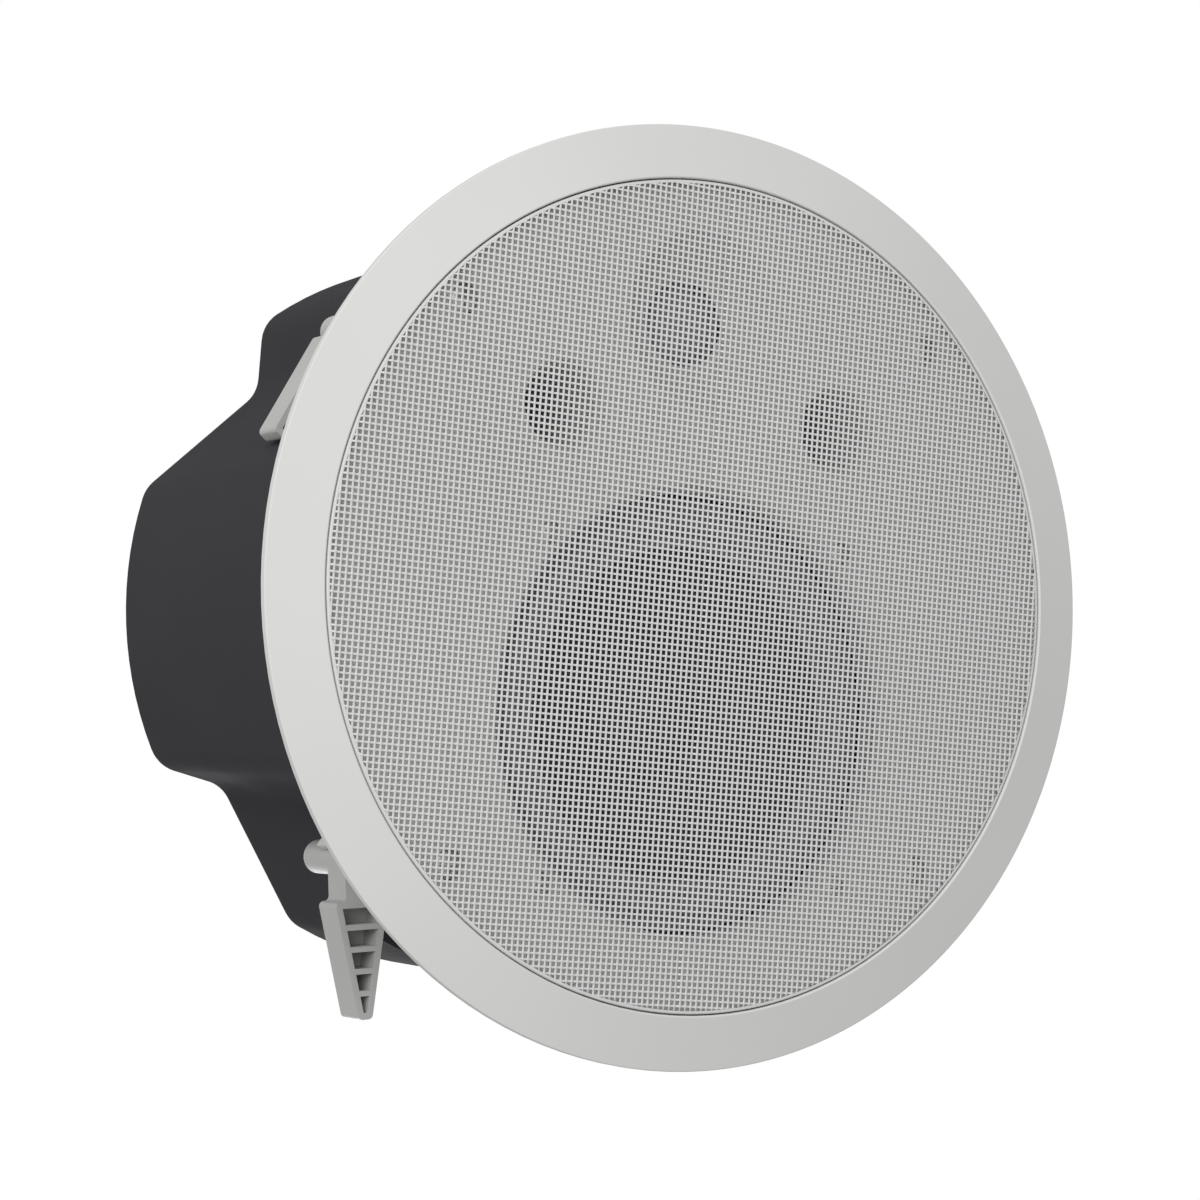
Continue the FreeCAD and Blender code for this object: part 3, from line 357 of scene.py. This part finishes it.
def noise_at(tree, coordinates, scale, detail, roughness=0.5):
    """Noise on given coordinates, with its scale from a socket."""
    node = tree.nodes.new("ShaderNodeTexNoise")
    node.inputs["Detail"].default_value = detail
    node.inputs["Roughness"].default_value = roughness
    tree.links.new(coordinates, node.inputs["Vector"])
    tree.links.new(scale, node.inputs["Scale"])
    return node.outputs["Fac"]


def wave_at(tree, coordinates, scale, direction):
    """Even waves along one axis of given coordinates, with their scale from a socket."""
    node = tree.nodes.new("ShaderNodeTexWave")
    node.bands_direction = direction
    tree.links.new(coordinates, node.inputs["Vector"])
    tree.links.new(scale, node.inputs["Scale"])
    return node.outputs["Fac"]


def remap(tree, value, low=0.0, high=1.0, start=0.3, end=0.7):
    """Value from start to end becomes low to high; low and high are numbers or sockets."""
    node = tree.nodes.new("ShaderNodeMapRange")
    for label, bound in (("Value", value), ("From Min", start), ("From Max", end), ("To Min", low),
                         ("To Max", high)):
        feed(tree, bound, node.inputs[label])
    return node.outputs["Result"]


def arithmetic(tree, operation, first, second):
    """One math node on two values, each a number or a socket."""
    node = tree.nodes.new("ShaderNodeMath")
    node.operation = operation
    for socket, value in zip(node.inputs, (first, second)):
        feed(tree, value, socket)
    return node.outputs["Value"]


def moulded_grain():
    """Spark-eroded mould texture: a fine height, an uneven gloss and a faint uneven tone."""
    group, given, place = new_group("moulded_grain", grain=2600.0, mottle=38.0, cloud=9.0, low_gloss=0.5,
                                    high_gloss=0.4)
    mottle = noise_at(group, place, given["mottle"], detail=4.0, roughness=0.6)
    cloud = noise_at(group, place, given["cloud"], detail=3.0)
    return deliver(group, noise_at(group, place, given["grain"], detail=2.0),
                   remap(group, mottle, given["low_gloss"], given["high_gloss"]), remap(group, cloud))


def turned_marks():
    """Fine lathe and plating marks: a stretched noise for height, and a cloud for gloss and tone."""
    group, given, place = new_group("turned_marks", marks=900.0, cloud=160.0, high_gloss=0.24,
                                    low_gloss=0.42)
    stretch = group.nodes.new("ShaderNodeMapping")
    stretch.inputs["Scale"].default_value = MARK_STRETCH
    group.links.new(place, stretch.inputs["Vector"])
    cloud = noise_at(group, place, given["cloud"], detail=4.0, roughness=0.65)
    return deliver(group, noise_at(group, stretch.outputs["Vector"], given["marks"], detail=3.0),
                   remap(group, cloud, given["high_gloss"], given["low_gloss"]), remap(group, cloud))


def pulp_fibres():
    """Matted fibres: one noise for height and gloss, and blotches for tone."""
    group, given, place = new_group("pulp_fibres", fibre=700.0, blotch=60.0, high_gloss=0.62, low_gloss=0.85)
    fibres = noise_at(group, place, given["fibre"], detail=6.0, roughness=0.7)
    blotches = noise_at(group, place, given["blotch"], detail=5.0, roughness=0.6)
    return deliver(group, fibres, remap(group, fibres, given["high_gloss"], given["low_gloss"]),
                   remap(group, blotches))


def woven_threads():
    """Plain weave: the product of two sine waves across X and Y, with threads of uneven tone."""
    group, given, place = new_group("woven_threads", threads=1400.0, cloud=220.0, low_gloss=0.9,
                                    high_gloss=0.7)
    weave = arithmetic(group, "MULTIPLY", *(wave_at(group, place, given["threads"], axis) for axis in "XY"))
    return deliver(group, weave,
                   remap(group, weave, given["low_gloss"], given["high_gloss"], start=0.0, end=1.0),
                   noise_at(group, place, given["cloud"], detail=3.0))


def wound_wire():
    """Layers of wire: a round wave along Z for height, with a slightly uneven tone."""
    group, given, place = new_group("wound_wire", turns=900.0, cloud=500.0, low_gloss=0.45, high_gloss=0.22)
    wave = wave_at(group, place, given["turns"], "Z")
    return deliver(group, wave,
                   remap(group, wave, given["low_gloss"], given["high_gloss"], start=0.0, end=1.0),
                   noise_at(group, place, given["cloud"], detail=3.0))


EFFECTS = {}


def effect(maker):
    """The node group of an effect, built once."""
    if maker not in EFFECTS:
        EFFECTS[maker] = maker()
    return EFFECTS[maker]


def shade(base, share):
    """A darker or lighter copy of a colour, as four numbers."""
    return (*(min(1.0, channel * share) for channel in base), 1.0)


def finish(name, base, maker, dark=0.94, light=1.03, bump=0.2, relief=0.05, metal=0.0, gloss=0.5, soft=0.0,
           **values):
    """A material: two tones of the base colour, and gloss and relief from one of the shared effects.

    Relief and soft, the radius at which edges are shaded round, are in millimetres. The other values
    go to the effect's inputs.
    """
    material = bpy.data.materials.new(name)
    material.use_nodes = True
    tree = material.node_tree
    surface = tree.nodes["Principled BSDF"]
    grain = tree.nodes.new("ShaderNodeGroup")
    grain.node_tree = effect(maker)
    for label, value in values.items():
        grain.inputs[label].default_value = value
    tone = tree.nodes.new("ShaderNodeMix")
    tone.data_type = "RGBA"
    tone.inputs["A"].default_value = shade(base, dark)
    tone.inputs["B"].default_value = shade(base, light)
    relief_node = tree.nodes.new("ShaderNodeBump")
    relief_node.inputs["Strength"].default_value = bump
    relief_node.inputs["Distance"].default_value = relief * MILLIMETRE
    if soft:
        edges = tree.nodes.new("ShaderNodeBevel")
        edges.inputs["Radius"].default_value = soft * MILLIMETRE
        tree.links.new(edges.outputs["Normal"], relief_node.inputs["Normal"])
    tree.links.new(grain.outputs["Tone"], tone.inputs["Factor"])
    tree.links.new(tone.outputs["Result"], surface.inputs["Base Color"])
    tree.links.new(grain.outputs["Roughness"], surface.inputs["Roughness"])
    tree.links.new(grain.outputs["Height"], relief_node.inputs["Height"])
    tree.links.new(relief_node.outputs["Normal"], surface.inputs["Normal"])
    surface.inputs["Metallic"].default_value = metal
    surface.inputs["Specular IOR Level"].default_value = gloss
    return material


def zinc():
    """The finish of plated steel, made once."""
    return bpy.data.materials.get("zinc_plate") or finish(
        "zinc_plate", settings().colours.zinc, turned_marks, dark=0.9, bump=0.15, relief=0.02, metal=1.0)


def black_plastic():
    """The finish of black mouldings, made once."""
    return bpy.data.materials.get("black_plastic") or finish(
        "black_plastic", settings().colours.black_plastic, moulded_grain, bump=0.15, low_gloss=0.5,
        high_gloss=0.35)


# Grille
def grid_lines(radius, pitch, hole):
    """Both edges of every row of holes: row middles lie a pitch apart, counted from the centre."""
    last = int(radius / pitch) + 1
    middles = np.arange(-last, last + 1) * pitch
    return np.sort(np.concatenate([middles - hole / 2, middles + hole / 2]))


def perforated_field(sizes, radius):
    """Points and cells of the sheet's plane.

    The points are where the grid lines cross. A point beyond the circle is pulled in along its radius
    until it lies on the circle, so the outermost holes are cut by it. A cell is kept if any of its
    corners was inside, and every cell that is odd in X or in Y is steel.
    """
    lines = grid_lines(radius, sizes.pitch, sizes.hole)
    x, y = np.meshgrid(lines, lines, indexing="ij")
    reach = np.hypot(x, y)
    inside = reach < radius
    pull = np.where(inside, 1.0, radius / reach)
    turn = np.exp(1j * sizes.turn)
    plane = (x + 1j * y) * pull * turn
    corners = (inside[:-1, :-1], inside[1:, :-1], inside[1:, 1:], inside[:-1, 1:])
    kept = np.logical_or.reduce(corners)
    odd = np.arange(len(lines) - 1) % 2 == 1
    steel = kept & (odd[:, None] | odd[None, :])
    return plane, inside, kept, steel


def sheet_faces(steel):
    """Front, back and walls of the steel cells: a wall stands wherever steel meets no steel."""
    rows, columns = (size + 1 for size in steel.shape)
    number = np.arange(rows * columns).reshape(rows, columns)
    i, j = np.nonzero(steel)
    front = np.stack([number[i, j], number[i + 1, j], number[i + 1, j + 1], number[i, j + 1]], axis=1)
    behind = number.size
    walls = []
    i, j = np.nonzero(steel[:-1] != steel[1:])
    walls.append((number[i + 1, j], number[i + 1, j + 1]))
    i, j = np.nonzero(steel[:, :-1] != steel[:, 1:])
    walls.append((number[i, j + 1], number[i + 1, j + 1]))
    sides = [np.stack([a, b, b + behind, a + behind], axis=1) for a, b in walls]
    return np.concatenate([front, front[:, ::-1] + behind, *sides])


def used_only(points, quads):
    """Drop the points that no face uses."""
    used, renumbered = np.unique(quads, return_inverse=True)
    return points[used], renumbered.reshape(quads.shape)


def rim_profile(sizes, field, outer, front, rear):
    """Closed section of the folded rim, as radius and height.

    It runs along the front, round the bend, down to the baffle, back inside at the sheet's thickness, and
    through the sheet to the start.
    """
    angle = np.linspace(0, math.pi / 2, sizes.bend_steps)
    inner = max(sizes.bend - sizes.sheet, 0.0) + sizes.sheet * LEAST_FOLD
    wall = outer - sizes.sheet
    back = front + sizes.sheet
    radius = np.concatenate([[field], outer - sizes.bend + sizes.bend * np.sin(angle), [outer, wall],
                             wall - inner + inner * np.cos(angle), [field, field]])
    height = np.concatenate([[front], front + sizes.bend - sizes.bend * np.cos(angle), [rear, rear],
                             back + inner - inner * np.sin(angle), [back, front]])
    return radius, height


def edge_spokes(plane, inside, kept, radius):
    """Directions of the sheet's points on its edge, in turn: corners of kept cells that lay outside."""
    used = np.zeros(inside.shape, bool)
    early, late = slice(None, -1), slice(1, None)
    for corner in ((early, early), (late, early), (late, late), (early, late)):
        used[corner] |= kept
    edge = plane[used & ~inside]
    return edge[np.argsort(np.angle(edge))] / radius


def make_grille():
    """Perforated sheet in two halves, and a folded rim that meets the sheet point by point."""
    sizes = settings().grille
    coat = finish("powder_coat", settings().colours.grille, moulded_grain, dark=0.97, light=1.02, bump=0.12,
                  relief=0.02, grain=5200.0, low_gloss=0.5, high_gloss=0.42)
    outer = GRILLE_HIGH.x
    front = GRILLE_LOW.z
    field = outer - sizes.border
    plane, inside, kept, steel = perforated_field(sizes, field)
    flat = np.stack([plane.real.ravel(), plane.imag.ravel(), np.full(plane.size, front)], axis=1)
    points = np.concatenate([flat, flat + (0, 0, sizes.sheet)])
    middle = steel.shape[0] // 2
    left = np.arange(steel.shape[0])[:, None] < middle
    for side, half in (("left", left), ("right", ~left)):
        sheet = mesh_of(f"grille_sheet_{side}", *used_only(points, sheet_faces(steel & half)))
        in_place_of("grille", sheet, coat, smooth=False)
    spokes = edge_spokes(plane, inside, kept, field)
    radius, height = rim_profile(sizes, field, outer, front, GRILLE_HIGH.z)
    ring = radius[:, None] * spokes[None, :]
    rim = np.stack([ring.real, ring.imag, np.broadcast_to(height[:, None], ring.shape)], axis=-1)
    quads = grid_faces(len(radius), len(spokes), closed=True)
    in_place_of("grille", mesh_of("grille_rim", rim.reshape(-1, 3), quads), coat)


# Screws
def screw_surface(screw, head_radius, shank_length, threaded=False):
    """Points and faces of a screw about Z, with the head's underside at 0 and the head on the negative side.

    The rows run from the middle of the head's crown over its edge and along the shank to the tip.
    The crown is a parabola, less a cross whose arms are flat-bottomed. Where the shank is threaded, its
    radius falls by a triangle wave of the height less the turn.
    """
    sizes = settings().screws
    head_height, shank_radius = screw
    spin = np.linspace(0, 2 * math.pi, sizes.spokes, endpoint=False)[None, :]
    share = np.linspace(0, 1, sizes.crown_rows)[:, None]
    crown_radius = share * head_radius * np.ones_like(spin)
    crown_height = -head_height + sizes.crown * head_height * share ** 2 * np.ones_like(spin)
    across = np.abs(crown_radius * np.cos(spin)) / head_radius
    along = np.abs(crown_radius * np.sin(spin)) / head_radius
    slot = np.minimum(across, along) < sizes.recess_width / 2
    slot &= np.maximum(across, along) < sizes.recess_reach
    crown_height = np.where(slot, -head_height * (1 - sizes.recess_depth), crown_height)
    under = np.array([[head_radius], [shank_radius]]) * np.ones_like(spin)
    rows = max(2, int(shank_length / sizes.thread_pitch * sizes.thread_rows)) if threaded else 2
    along_shank = np.linspace(0, shank_length, rows)[:, None] * np.ones_like(spin)
    phase = (along_shank / sizes.thread_pitch - spin / (2 * math.pi)) % 1.0
    depth = sizes.thread_depth * np.abs(2 * phase - 1) if threaded else 0.0
    shank = shank_radius - depth * np.ones_like(along_shank)
    tip = np.zeros_like(spin)
    radius = np.concatenate([crown_radius, under, shank, tip])
    height = np.concatenate([crown_height, np.zeros_like(under), along_shank, tip + shank_length])
    points = np.stack([radius * np.cos(spin), radius * np.sin(spin), height], axis=-1)
    return points.reshape(-1, 3), grid_faces(len(radius), sizes.spokes, closed=True)


def solid_boxes(node):
    """Lowest and highest corner of each separate solid of a node."""
    shape = bmesh.new()
    shape.from_mesh(frame["nodes"][node].data)
    bmesh.ops.remove_doubles(shape, verts=shape.verts, dist=WELD_DISTANCE)
    left = set(shape.verts)
    boxes = []
    while left:
        edge = [left.pop()]
        found = list(edge)
        while edge:
            near = {link.other_vert(vert) for vert in edge for link in vert.link_edges} & left
            left -= near
            found += near
            edge = list(near)
        places = np.array([vert.co for vert in found])
        boxes.append((places.min(axis=0), places.max(axis=0)))
    shape.free()
    return sorted(boxes, key=lambda corners: tuple(corners[0]))


def screw_set(name, node, screw, heads_up):
    """Turned screws in the places of a node's solids, as one piece."""
    points, quads = [], []
    for low, high in solid_boxes(node):
        body, faces = screw_surface(screw, (high[0] - low[0]) / 2, high[2] - low[2] - screw.head_height)
        flip = -1.0 if heads_up else 1.0
        level = high[2] - screw.head_height if heads_up else low[2] + screw.head_height
        body = body * (1, flip, flip) + ((low[0] + high[0]) / 2, (low[1] + high[1]) / 2, level)
        quads.append(faces + sum(map(len, points)))
        points.append(body)
    in_place_of(node, mesh_of(name, np.concatenate(points), np.concatenate(quads)), zinc())


def clamp_screw(corner):
    """A threaded clamp screw in the place of its plain node."""
    node = f"clamp_screw_{corner}"
    low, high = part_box(node)
    points, quads = screw_surface(CLAMP_SCREW, (high.x - low.x) / 2,
                                  high.z - low.z - CLAMP_SCREW.head_height, threaded=True)
    middle = (low + high) / 2
    points = points + (middle.x, middle.y, low.z + CLAMP_SCREW.head_height)
    in_place_of(node, mesh_of(f"threaded_screw_{corner}", points, quads), zinc())


def make_clamps():
    """Clamp arms with rounded edges, their inserts and their threaded screws."""
    colours = settings().colours
    nylon = finish("clamp_nylon", colours.clamp, moulded_grain, dark=0.95, light=1.03, bump=0.12, relief=0.03,
                   gloss=0.15, grain=1800.0, low_gloss=0.55, high_gloss=0.42)
    brass = finish("turned_brass", colours.brass, turned_marks, bump=0.1, relief=0.02, metal=1.0)
    for corner in CLAMP_CORNERS:
        softened(f"clamp_arm_{corner}", nylon, settings().edges.clamp)
        dress(brass, f"clamp_insert_{corner}")
        clamp_screw(corner)


# Frame, can and drivers
def make_frame():
    """Front frame and gaskets."""
    colours = settings().colours
    bezel = finish("bezel_plastic", colours.bezel, moulded_grain, dark=0.975, light=1.015, bump=0.1,
                   relief=0.03, gloss=0.0, grain=2600.0, low_gloss=0.5, high_gloss=0.42)
    foam = finish("closed_cell_foam", colours.foam, pulp_fibres, bump=0.4, relief=0.1)
    dress(bezel, "front_frame")
    dress(foam, "can_gasket", "woofer_gasket")


def make_can():
    """Back can and the screws of its lip."""
    can = finish("can_plastic", settings().colours.can, moulded_grain, dark=0.95, light=1.05, bump=0.18,
                 relief=0.05, gloss=0.003, soft=0.8, grain=1500.0, low_gloss=0.78, high_gloss=0.66)
    dress(can, "back_can")
    screw_set("can_lip_screws", "can_screws", LIP_SCREW, heads_up=True)


def roll_section():
    """Radius and height of the half-roll's two faces, front then back, between its flat lips.

    A face is a half circle about the roll's middle: radius = middle + size x cosine, and height =
    seat - size x sine. The front has the roll's full size and starts where it meets the lips' face. The
    back is one wall smaller. The radii of the roll's two feet follow.
    """
    sizes = settings().surround
    (low, high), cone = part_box("woofer_surround"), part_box("woofer_cone")
    seat, roll = high[2], high[2] - low[2]
    reach, edge = (high[0] - low[0]) / 2, (cone[1][0] - cone[0][0]) / 2
    lip = reach - edge - 2 * roll
    faces = []
    for size, drop in ((roll, sizes.wall), (roll - sizes.wall, 0.0)):
        start = math.asin(drop / size)
        angle = np.linspace(math.pi - start, start, sizes.arc_steps + 1)
        arc = np.stack((edge + roll + size * np.cos(angle), seat - size * np.sin(angle)), axis=-1)
        faces.append(np.vstack(([[edge - lip, seat - drop]], arc, [[reach, seat - drop]])))
    return faces, edge, edge + 2 * roll


def surround_sectors(rubber):
    """Half-roll in equal sectors, each reaching from the basket to the cone.

    The section's closed outline is turned about the woofer's axis: a point is the axis + radius x
    (cosine, sine).
    """
    sizes = settings().surround
    (front, back), inner, outer = roll_section()
    outline = np.vstack((front, back[::-1]))
    columns, rows = len(outline), sizes.turn_steps + 1
    low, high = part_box("woofer_surround")
    axis = (np.array(low[:2]) + np.array(high[:2])) / 2
    first = np.arange(len(front) - 1)
    cap = np.stack((first, first + 1, columns - 2 - first, columns - 1 - first), axis=-1)
    quads = np.vstack((grid_faces(rows, columns, closed=True), cap, cap + (rows - 1) * columns))
    share = 2 * math.pi / sizes.sectors
    for number in range(sizes.sectors):
        turn = share * (number + np.linspace(-0.5, 0.5, rows))[:, None]
        points = np.stack((axis[0] + outline[:, 0] * np.cos(turn), axis[1] + outline[:, 0] * np.sin(turn),
                           np.broadcast_to(outline[:, 1], (rows, columns))), axis=-1).reshape(-1, 3)
        mesh = mesh_of(f"surround_sector_{number + 1:02d}", points, quads)
        piece = dressed_object(mesh, rubber)
        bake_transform(piece)
        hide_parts("woofer_surround")


def make_woofer():
    """Woofer with a surround in sectors, and the screws of its basket."""
    colours = settings().colours
    dress(finish("cone_pulp", colours.paper, pulp_fibres, dark=0.8, light=1.2, bump=0.35, relief=0.1),
          "woofer_cone", "dust_cap")
    surround_sectors(finish("roll_rubber", colours.rubber, moulded_grain, bump=0.1, low_gloss=0.62,
                            high_gloss=0.5))
    dress(finish("basket_paint", colours.basket, moulded_grain, bump=0.15, low_gloss=0.5, high_gloss=0.35),
          "woofer_basket")
    dress(finish("damper_weave", colours.cloth, woven_threads, dark=0.8, bump=0.5, relief=0.15), "spider")
    dress(finish("wound_copper", colours.copper, wound_wire, bump=0.6, relief=0.1, metal=1.0), "voice_coil",
          "tweeter_coil", "crossover_inductor")
    dress(finish("sintered_ferrite", colours.ferrite, pulp_fibres, bump=0.2, relief=0.05), "woofer_magnet")
    dress(zinc(), "top_plate", "pole_yoke")
    screw_set("basket_screws", "woofer_screws", BASKET_SCREW, heads_up=False)


def make_tweeter():
    """Tweeter's dome, ring and motor."""
    dress(finish("dome_silk", settings().colours.silk, woven_threads, bump=0.3, relief=0.05, threads=3200.0),
          "tweeter_dome", "tweeter_surround")
    dress(black_plastic(), "tweeter_ring")
    dress(zinc(), "tweeter_motor")


def make_ports():
    """Both port tubes."""
    dress(finish("port_plastic", settings().colours.port, moulded_grain, bump=0.15, low_gloss=0.6,
                 high_gloss=0.48), "port_tube_left", "port_tube_right")


def make_crossover():
    """Crossover board and what it carries."""
    colours = settings().colours
    dress(finish("board_laminate", colours.board, moulded_grain, dark=0.8, light=1.2, bump=0.1, low_gloss=0.4,
                 high_gloss=0.3), "crossover_board")
    dress(finish("capacitor_film", colours.film, moulded_grain, bump=0.05, low_gloss=0.3, high_gloss=0.2),
          "crossover_capacitors")
    dress(zinc(), "board_screws")


def make_terminals():
    """Terminal block with rounded edges, and its screws."""
    softened("terminal_block", black_plastic(), settings().edges.terminal)
    screw_set("terminal_wire_screws", "terminal_screws", TERMINAL_SCREW, heads_up=True)


# Stage
def hang_lamp(lamp, place, away):
    """Put a lamp in its place, shining against the direction away."""
    turn = Vector(away).to_track_quat("Z", "Y").to_matrix()
    add_object(lamp).matrix_world = Matrix.Translation(place) @ turn.to_4x4()


def key_lamp(stage):
    """A square lamp, as wide as its distance over the square root of two, turned to the object's middle."""
    lamp = bpy.data.lights.new("key_lamp", "AREA")
    away = Vector(stage.key_place) - (Vector(CAD_BOX[0]) + Vector(CAD_BOX[1])) / 2
    lamp.size = away.length / math.sqrt(2)
    lamp.energy = stage.key_power
    hang_lamp(lamp, stage.key_place, away)


def sky_lamp(stage):
    """A broad distant lamp that lights the floor and the back can evenly."""
    lamp = bpy.data.lights.new("sky_lamp", "SUN")
    lamp.energy = stage.sky_power
    lamp.angle = stage.sky_spread
    hang_lamp(lamp, stage.sky_from, stage.sky_from)


def stage_camera(stage):
    """Camera whose axes are the aim, the picture's upper edge and what is square to both."""
    camera = bpy.data.cameras.new("photo_camera")
    camera.lens = stage.lens
    holder = add_object(camera)
    ahead = (Vector(stage.camera_aim) - Vector(stage.camera_place)).normalized()
    right = ahead.cross(Vector(stage.camera_up)).normalized()
    turn = Matrix((right, right.cross(ahead), -ahead)).transposed()
    holder.matrix_world = Matrix.Translation(stage.camera_place) @ turn.to_4x4()
    bpy.context.scene.camera = holder


def show_mix(tree, share, first, second, output):
    """Mix two shaders by the share of the second, and send the mix to an output node."""
    mix = tree.nodes.new("ShaderNodeMixShader")
    tree.links.new(share, mix.inputs["Fac"])
    tree.links.new(first, mix.inputs[1])
    tree.links.new(second, mix.inputs[2])
    tree.links.new(mix.outputs["Shader"], tree.nodes[output].inputs["Surface"])


def stage_world(stage):
    """Even light, and plain white where the camera or a reflection looks past the object."""
    world = bpy.data.worlds.new("studio")
    world.use_nodes = True
    tree = world.node_tree
    light = tree.nodes["Background"]
    light.inputs["Color"].default_value = WHITE
    light.inputs["Strength"].default_value = stage.daylight
    white = tree.nodes.new("ShaderNodeBackground")
    white.inputs["Color"].default_value = WHITE
    path = tree.nodes.new("ShaderNodeLightPath").outputs
    seen = arithmetic(tree, "MAXIMUM", path["Is Camera Ray"], path["Is Transmission Ray"])
    seen = arithmetic(tree, "MAXIMUM", seen, path["Is Glossy Ray"])
    show_mix(tree, seen, light.outputs["Background"], white.outputs["Background"], "World Output")
    bpy.context.scene.world = world


def stage_floor(stage):
    """Pale floor under the bezel, seen only from above: from below the view and the light pass through."""
    half = stage.floor_half
    level = CAD_BOX[0][2]
    corners = np.array([(-half, -half, level), (half, -half, level),
                        (half, half, level), (-half, half, level)])
    mesh = mesh_of("floor", corners, np.array([[0, 1, 2, 3]]))
    if mesh.polygons[0].normal.z < 0:
        mesh.flip_normals()
    floor = add_object(mesh)
    material = bpy.data.materials.new("floor_paper")
    material.use_nodes = True
    tree = material.node_tree
    paper = tree.nodes["Principled BSDF"]
    paper.inputs["Base Color"].default_value = (*settings().colours.floor, 1.0)
    paper.inputs["Roughness"].default_value = stage.floor_roughness
    paper.inputs["Specular IOR Level"].default_value = stage.floor_gloss
    clear = tree.nodes.new("ShaderNodeBsdfTransparent")
    path = tree.nodes.new("ShaderNodeLightPath").outputs
    geometry = tree.nodes.new("ShaderNodeNewGeometry").outputs
    from_above = arithmetic(tree, "SUBTRACT", 1.0, geometry["Backfacing"])
    seen = arithmetic(tree, "MULTIPLY", path["Is Camera Ray"], from_above)
    show_mix(tree, seen, clear.outputs["BSDF"], paper.outputs["BSDF"], "Material Output")
    mesh.materials.append(material)


def make_stage():
    """Camera, surround light, floor and lamps."""
    stage = settings().stage
    stage_camera(stage)
    stage_world(stage)
    stage_floor(stage)
    key_lamp(stage)
    sky_lamp(stage)
    bpy.context.scene.view_settings.view_transform = "Standard"


# Operators
class SpeakerStep:
    """What the operators share: each runs one maker and finishes, or raises."""
    bl_options = {"REGISTER", "UNDO"}

    def execute(self, context):
        self.make()
        return {"FINISHED"}


class SPEAKER_OT_frame(SpeakerStep, Operator):
    """Finish the moulded front frame and its gaskets"""
    bl_idname = "speaker.frame"
    bl_label = "Front frame"
    make = staticmethod(make_frame)


class SPEAKER_OT_grille(SpeakerStep, Operator):
    """Punch the perforated grille and fold its rim"""
    bl_idname = "speaker.grille"
    bl_label = "Grille"
    make = staticmethod(make_grille)


class SPEAKER_OT_can(SpeakerStep, Operator):
    """Finish the back can and turn the screws of its lip"""
    bl_idname = "speaker.can"
    bl_label = "Back can"
    make = staticmethod(make_can)


class SPEAKER_OT_clamps(SpeakerStep, Operator):
    """Finish the clamp arms and cut the threads of their screws"""
    bl_idname = "speaker.clamps"
    bl_label = "Clamps"
    make = staticmethod(make_clamps)


class SPEAKER_OT_woofer(SpeakerStep, Operator):
    """Finish the woofer's cone, surround, basket and motor"""
    bl_idname = "speaker.woofer"
    bl_label = "Woofer"
    make = staticmethod(make_woofer)


class SPEAKER_OT_tweeter(SpeakerStep, Operator):
    """Finish the tweeter's dome, ring and motor"""
    bl_idname = "speaker.tweeter"
    bl_label = "Tweeter"
    make = staticmethod(make_tweeter)


class SPEAKER_OT_ports(SpeakerStep, Operator):
    """Finish the two port tubes"""
    bl_idname = "speaker.ports"
    bl_label = "Ports"
    make = staticmethod(make_ports)


class SPEAKER_OT_crossover(SpeakerStep, Operator):
    """Finish the crossover board and its parts"""
    bl_idname = "speaker.crossover"
    bl_label = "Crossover"
    make = staticmethod(make_crossover)


class SPEAKER_OT_terminals(SpeakerStep, Operator):
    """Finish the terminal block and its screws"""
    bl_idname = "speaker.terminals"
    bl_label = "Terminals"
    make = staticmethod(make_terminals)


class SPEAKER_OT_stage(SpeakerStep, Operator):
    """Set up the floor, the lamps, the surround light and the camera"""
    bl_idname = "speaker.stage"
    bl_label = "Stage"
    make = staticmethod(make_stage)


STEPS = (SPEAKER_OT_frame, SPEAKER_OT_grille, SPEAKER_OT_can, SPEAKER_OT_clamps, SPEAKER_OT_woofer,
         SPEAKER_OT_tweeter, SPEAKER_OT_ports, SPEAKER_OT_crossover, SPEAKER_OT_terminals, SPEAKER_OT_stage)


class SPEAKER_PT_sidebar(Panel):
    """Lists the steps and the settings of the speaker"""
    bl_label = "Ceiling speaker"
    bl_idname = "SPEAKER_PT_sidebar"
    bl_space_type = "VIEW_3D"
    bl_region_type = "UI"
    bl_category = "Speaker"

    def draw(self, context):
        for step in STEPS:
            self.layout.operator(step.bl_idname)
        for group in SpeakerSettings.__annotations__:
            box = self.layout.box()
            values = getattr(settings(), group)
            box.label(text=group.title())
            for name in values.__annotations__:
                box.prop(values, name)


CLASSES = (SpeakerColours, GrilleSizes, ScrewSizes, EdgeSizes, SurroundSizes, StageSettings, SpeakerSettings,
           *STEPS, SPEAKER_PT_sidebar)


def register():
    """Add the settings, the steps and the panel to Blender."""
    for item in CLASSES:
        bpy.utils.register_class(item)
    bpy.types.Scene.speaker = PointerProperty(name="Speaker", description="Settings of the speaker",
                                              type=SpeakerSettings)


def unregister():
    """Take them out again."""
    del bpy.types.Scene.speaker
    for item in reversed(CLASSES):
        bpy.utils.unregister_class(item)


def main():
    """Run every step."""
    register()
    for step in STEPS:
        area, name = step.bl_idname.split(".")
        getattr(getattr(bpy.ops, area), name)()


if __name__ == "__main__":
    main()
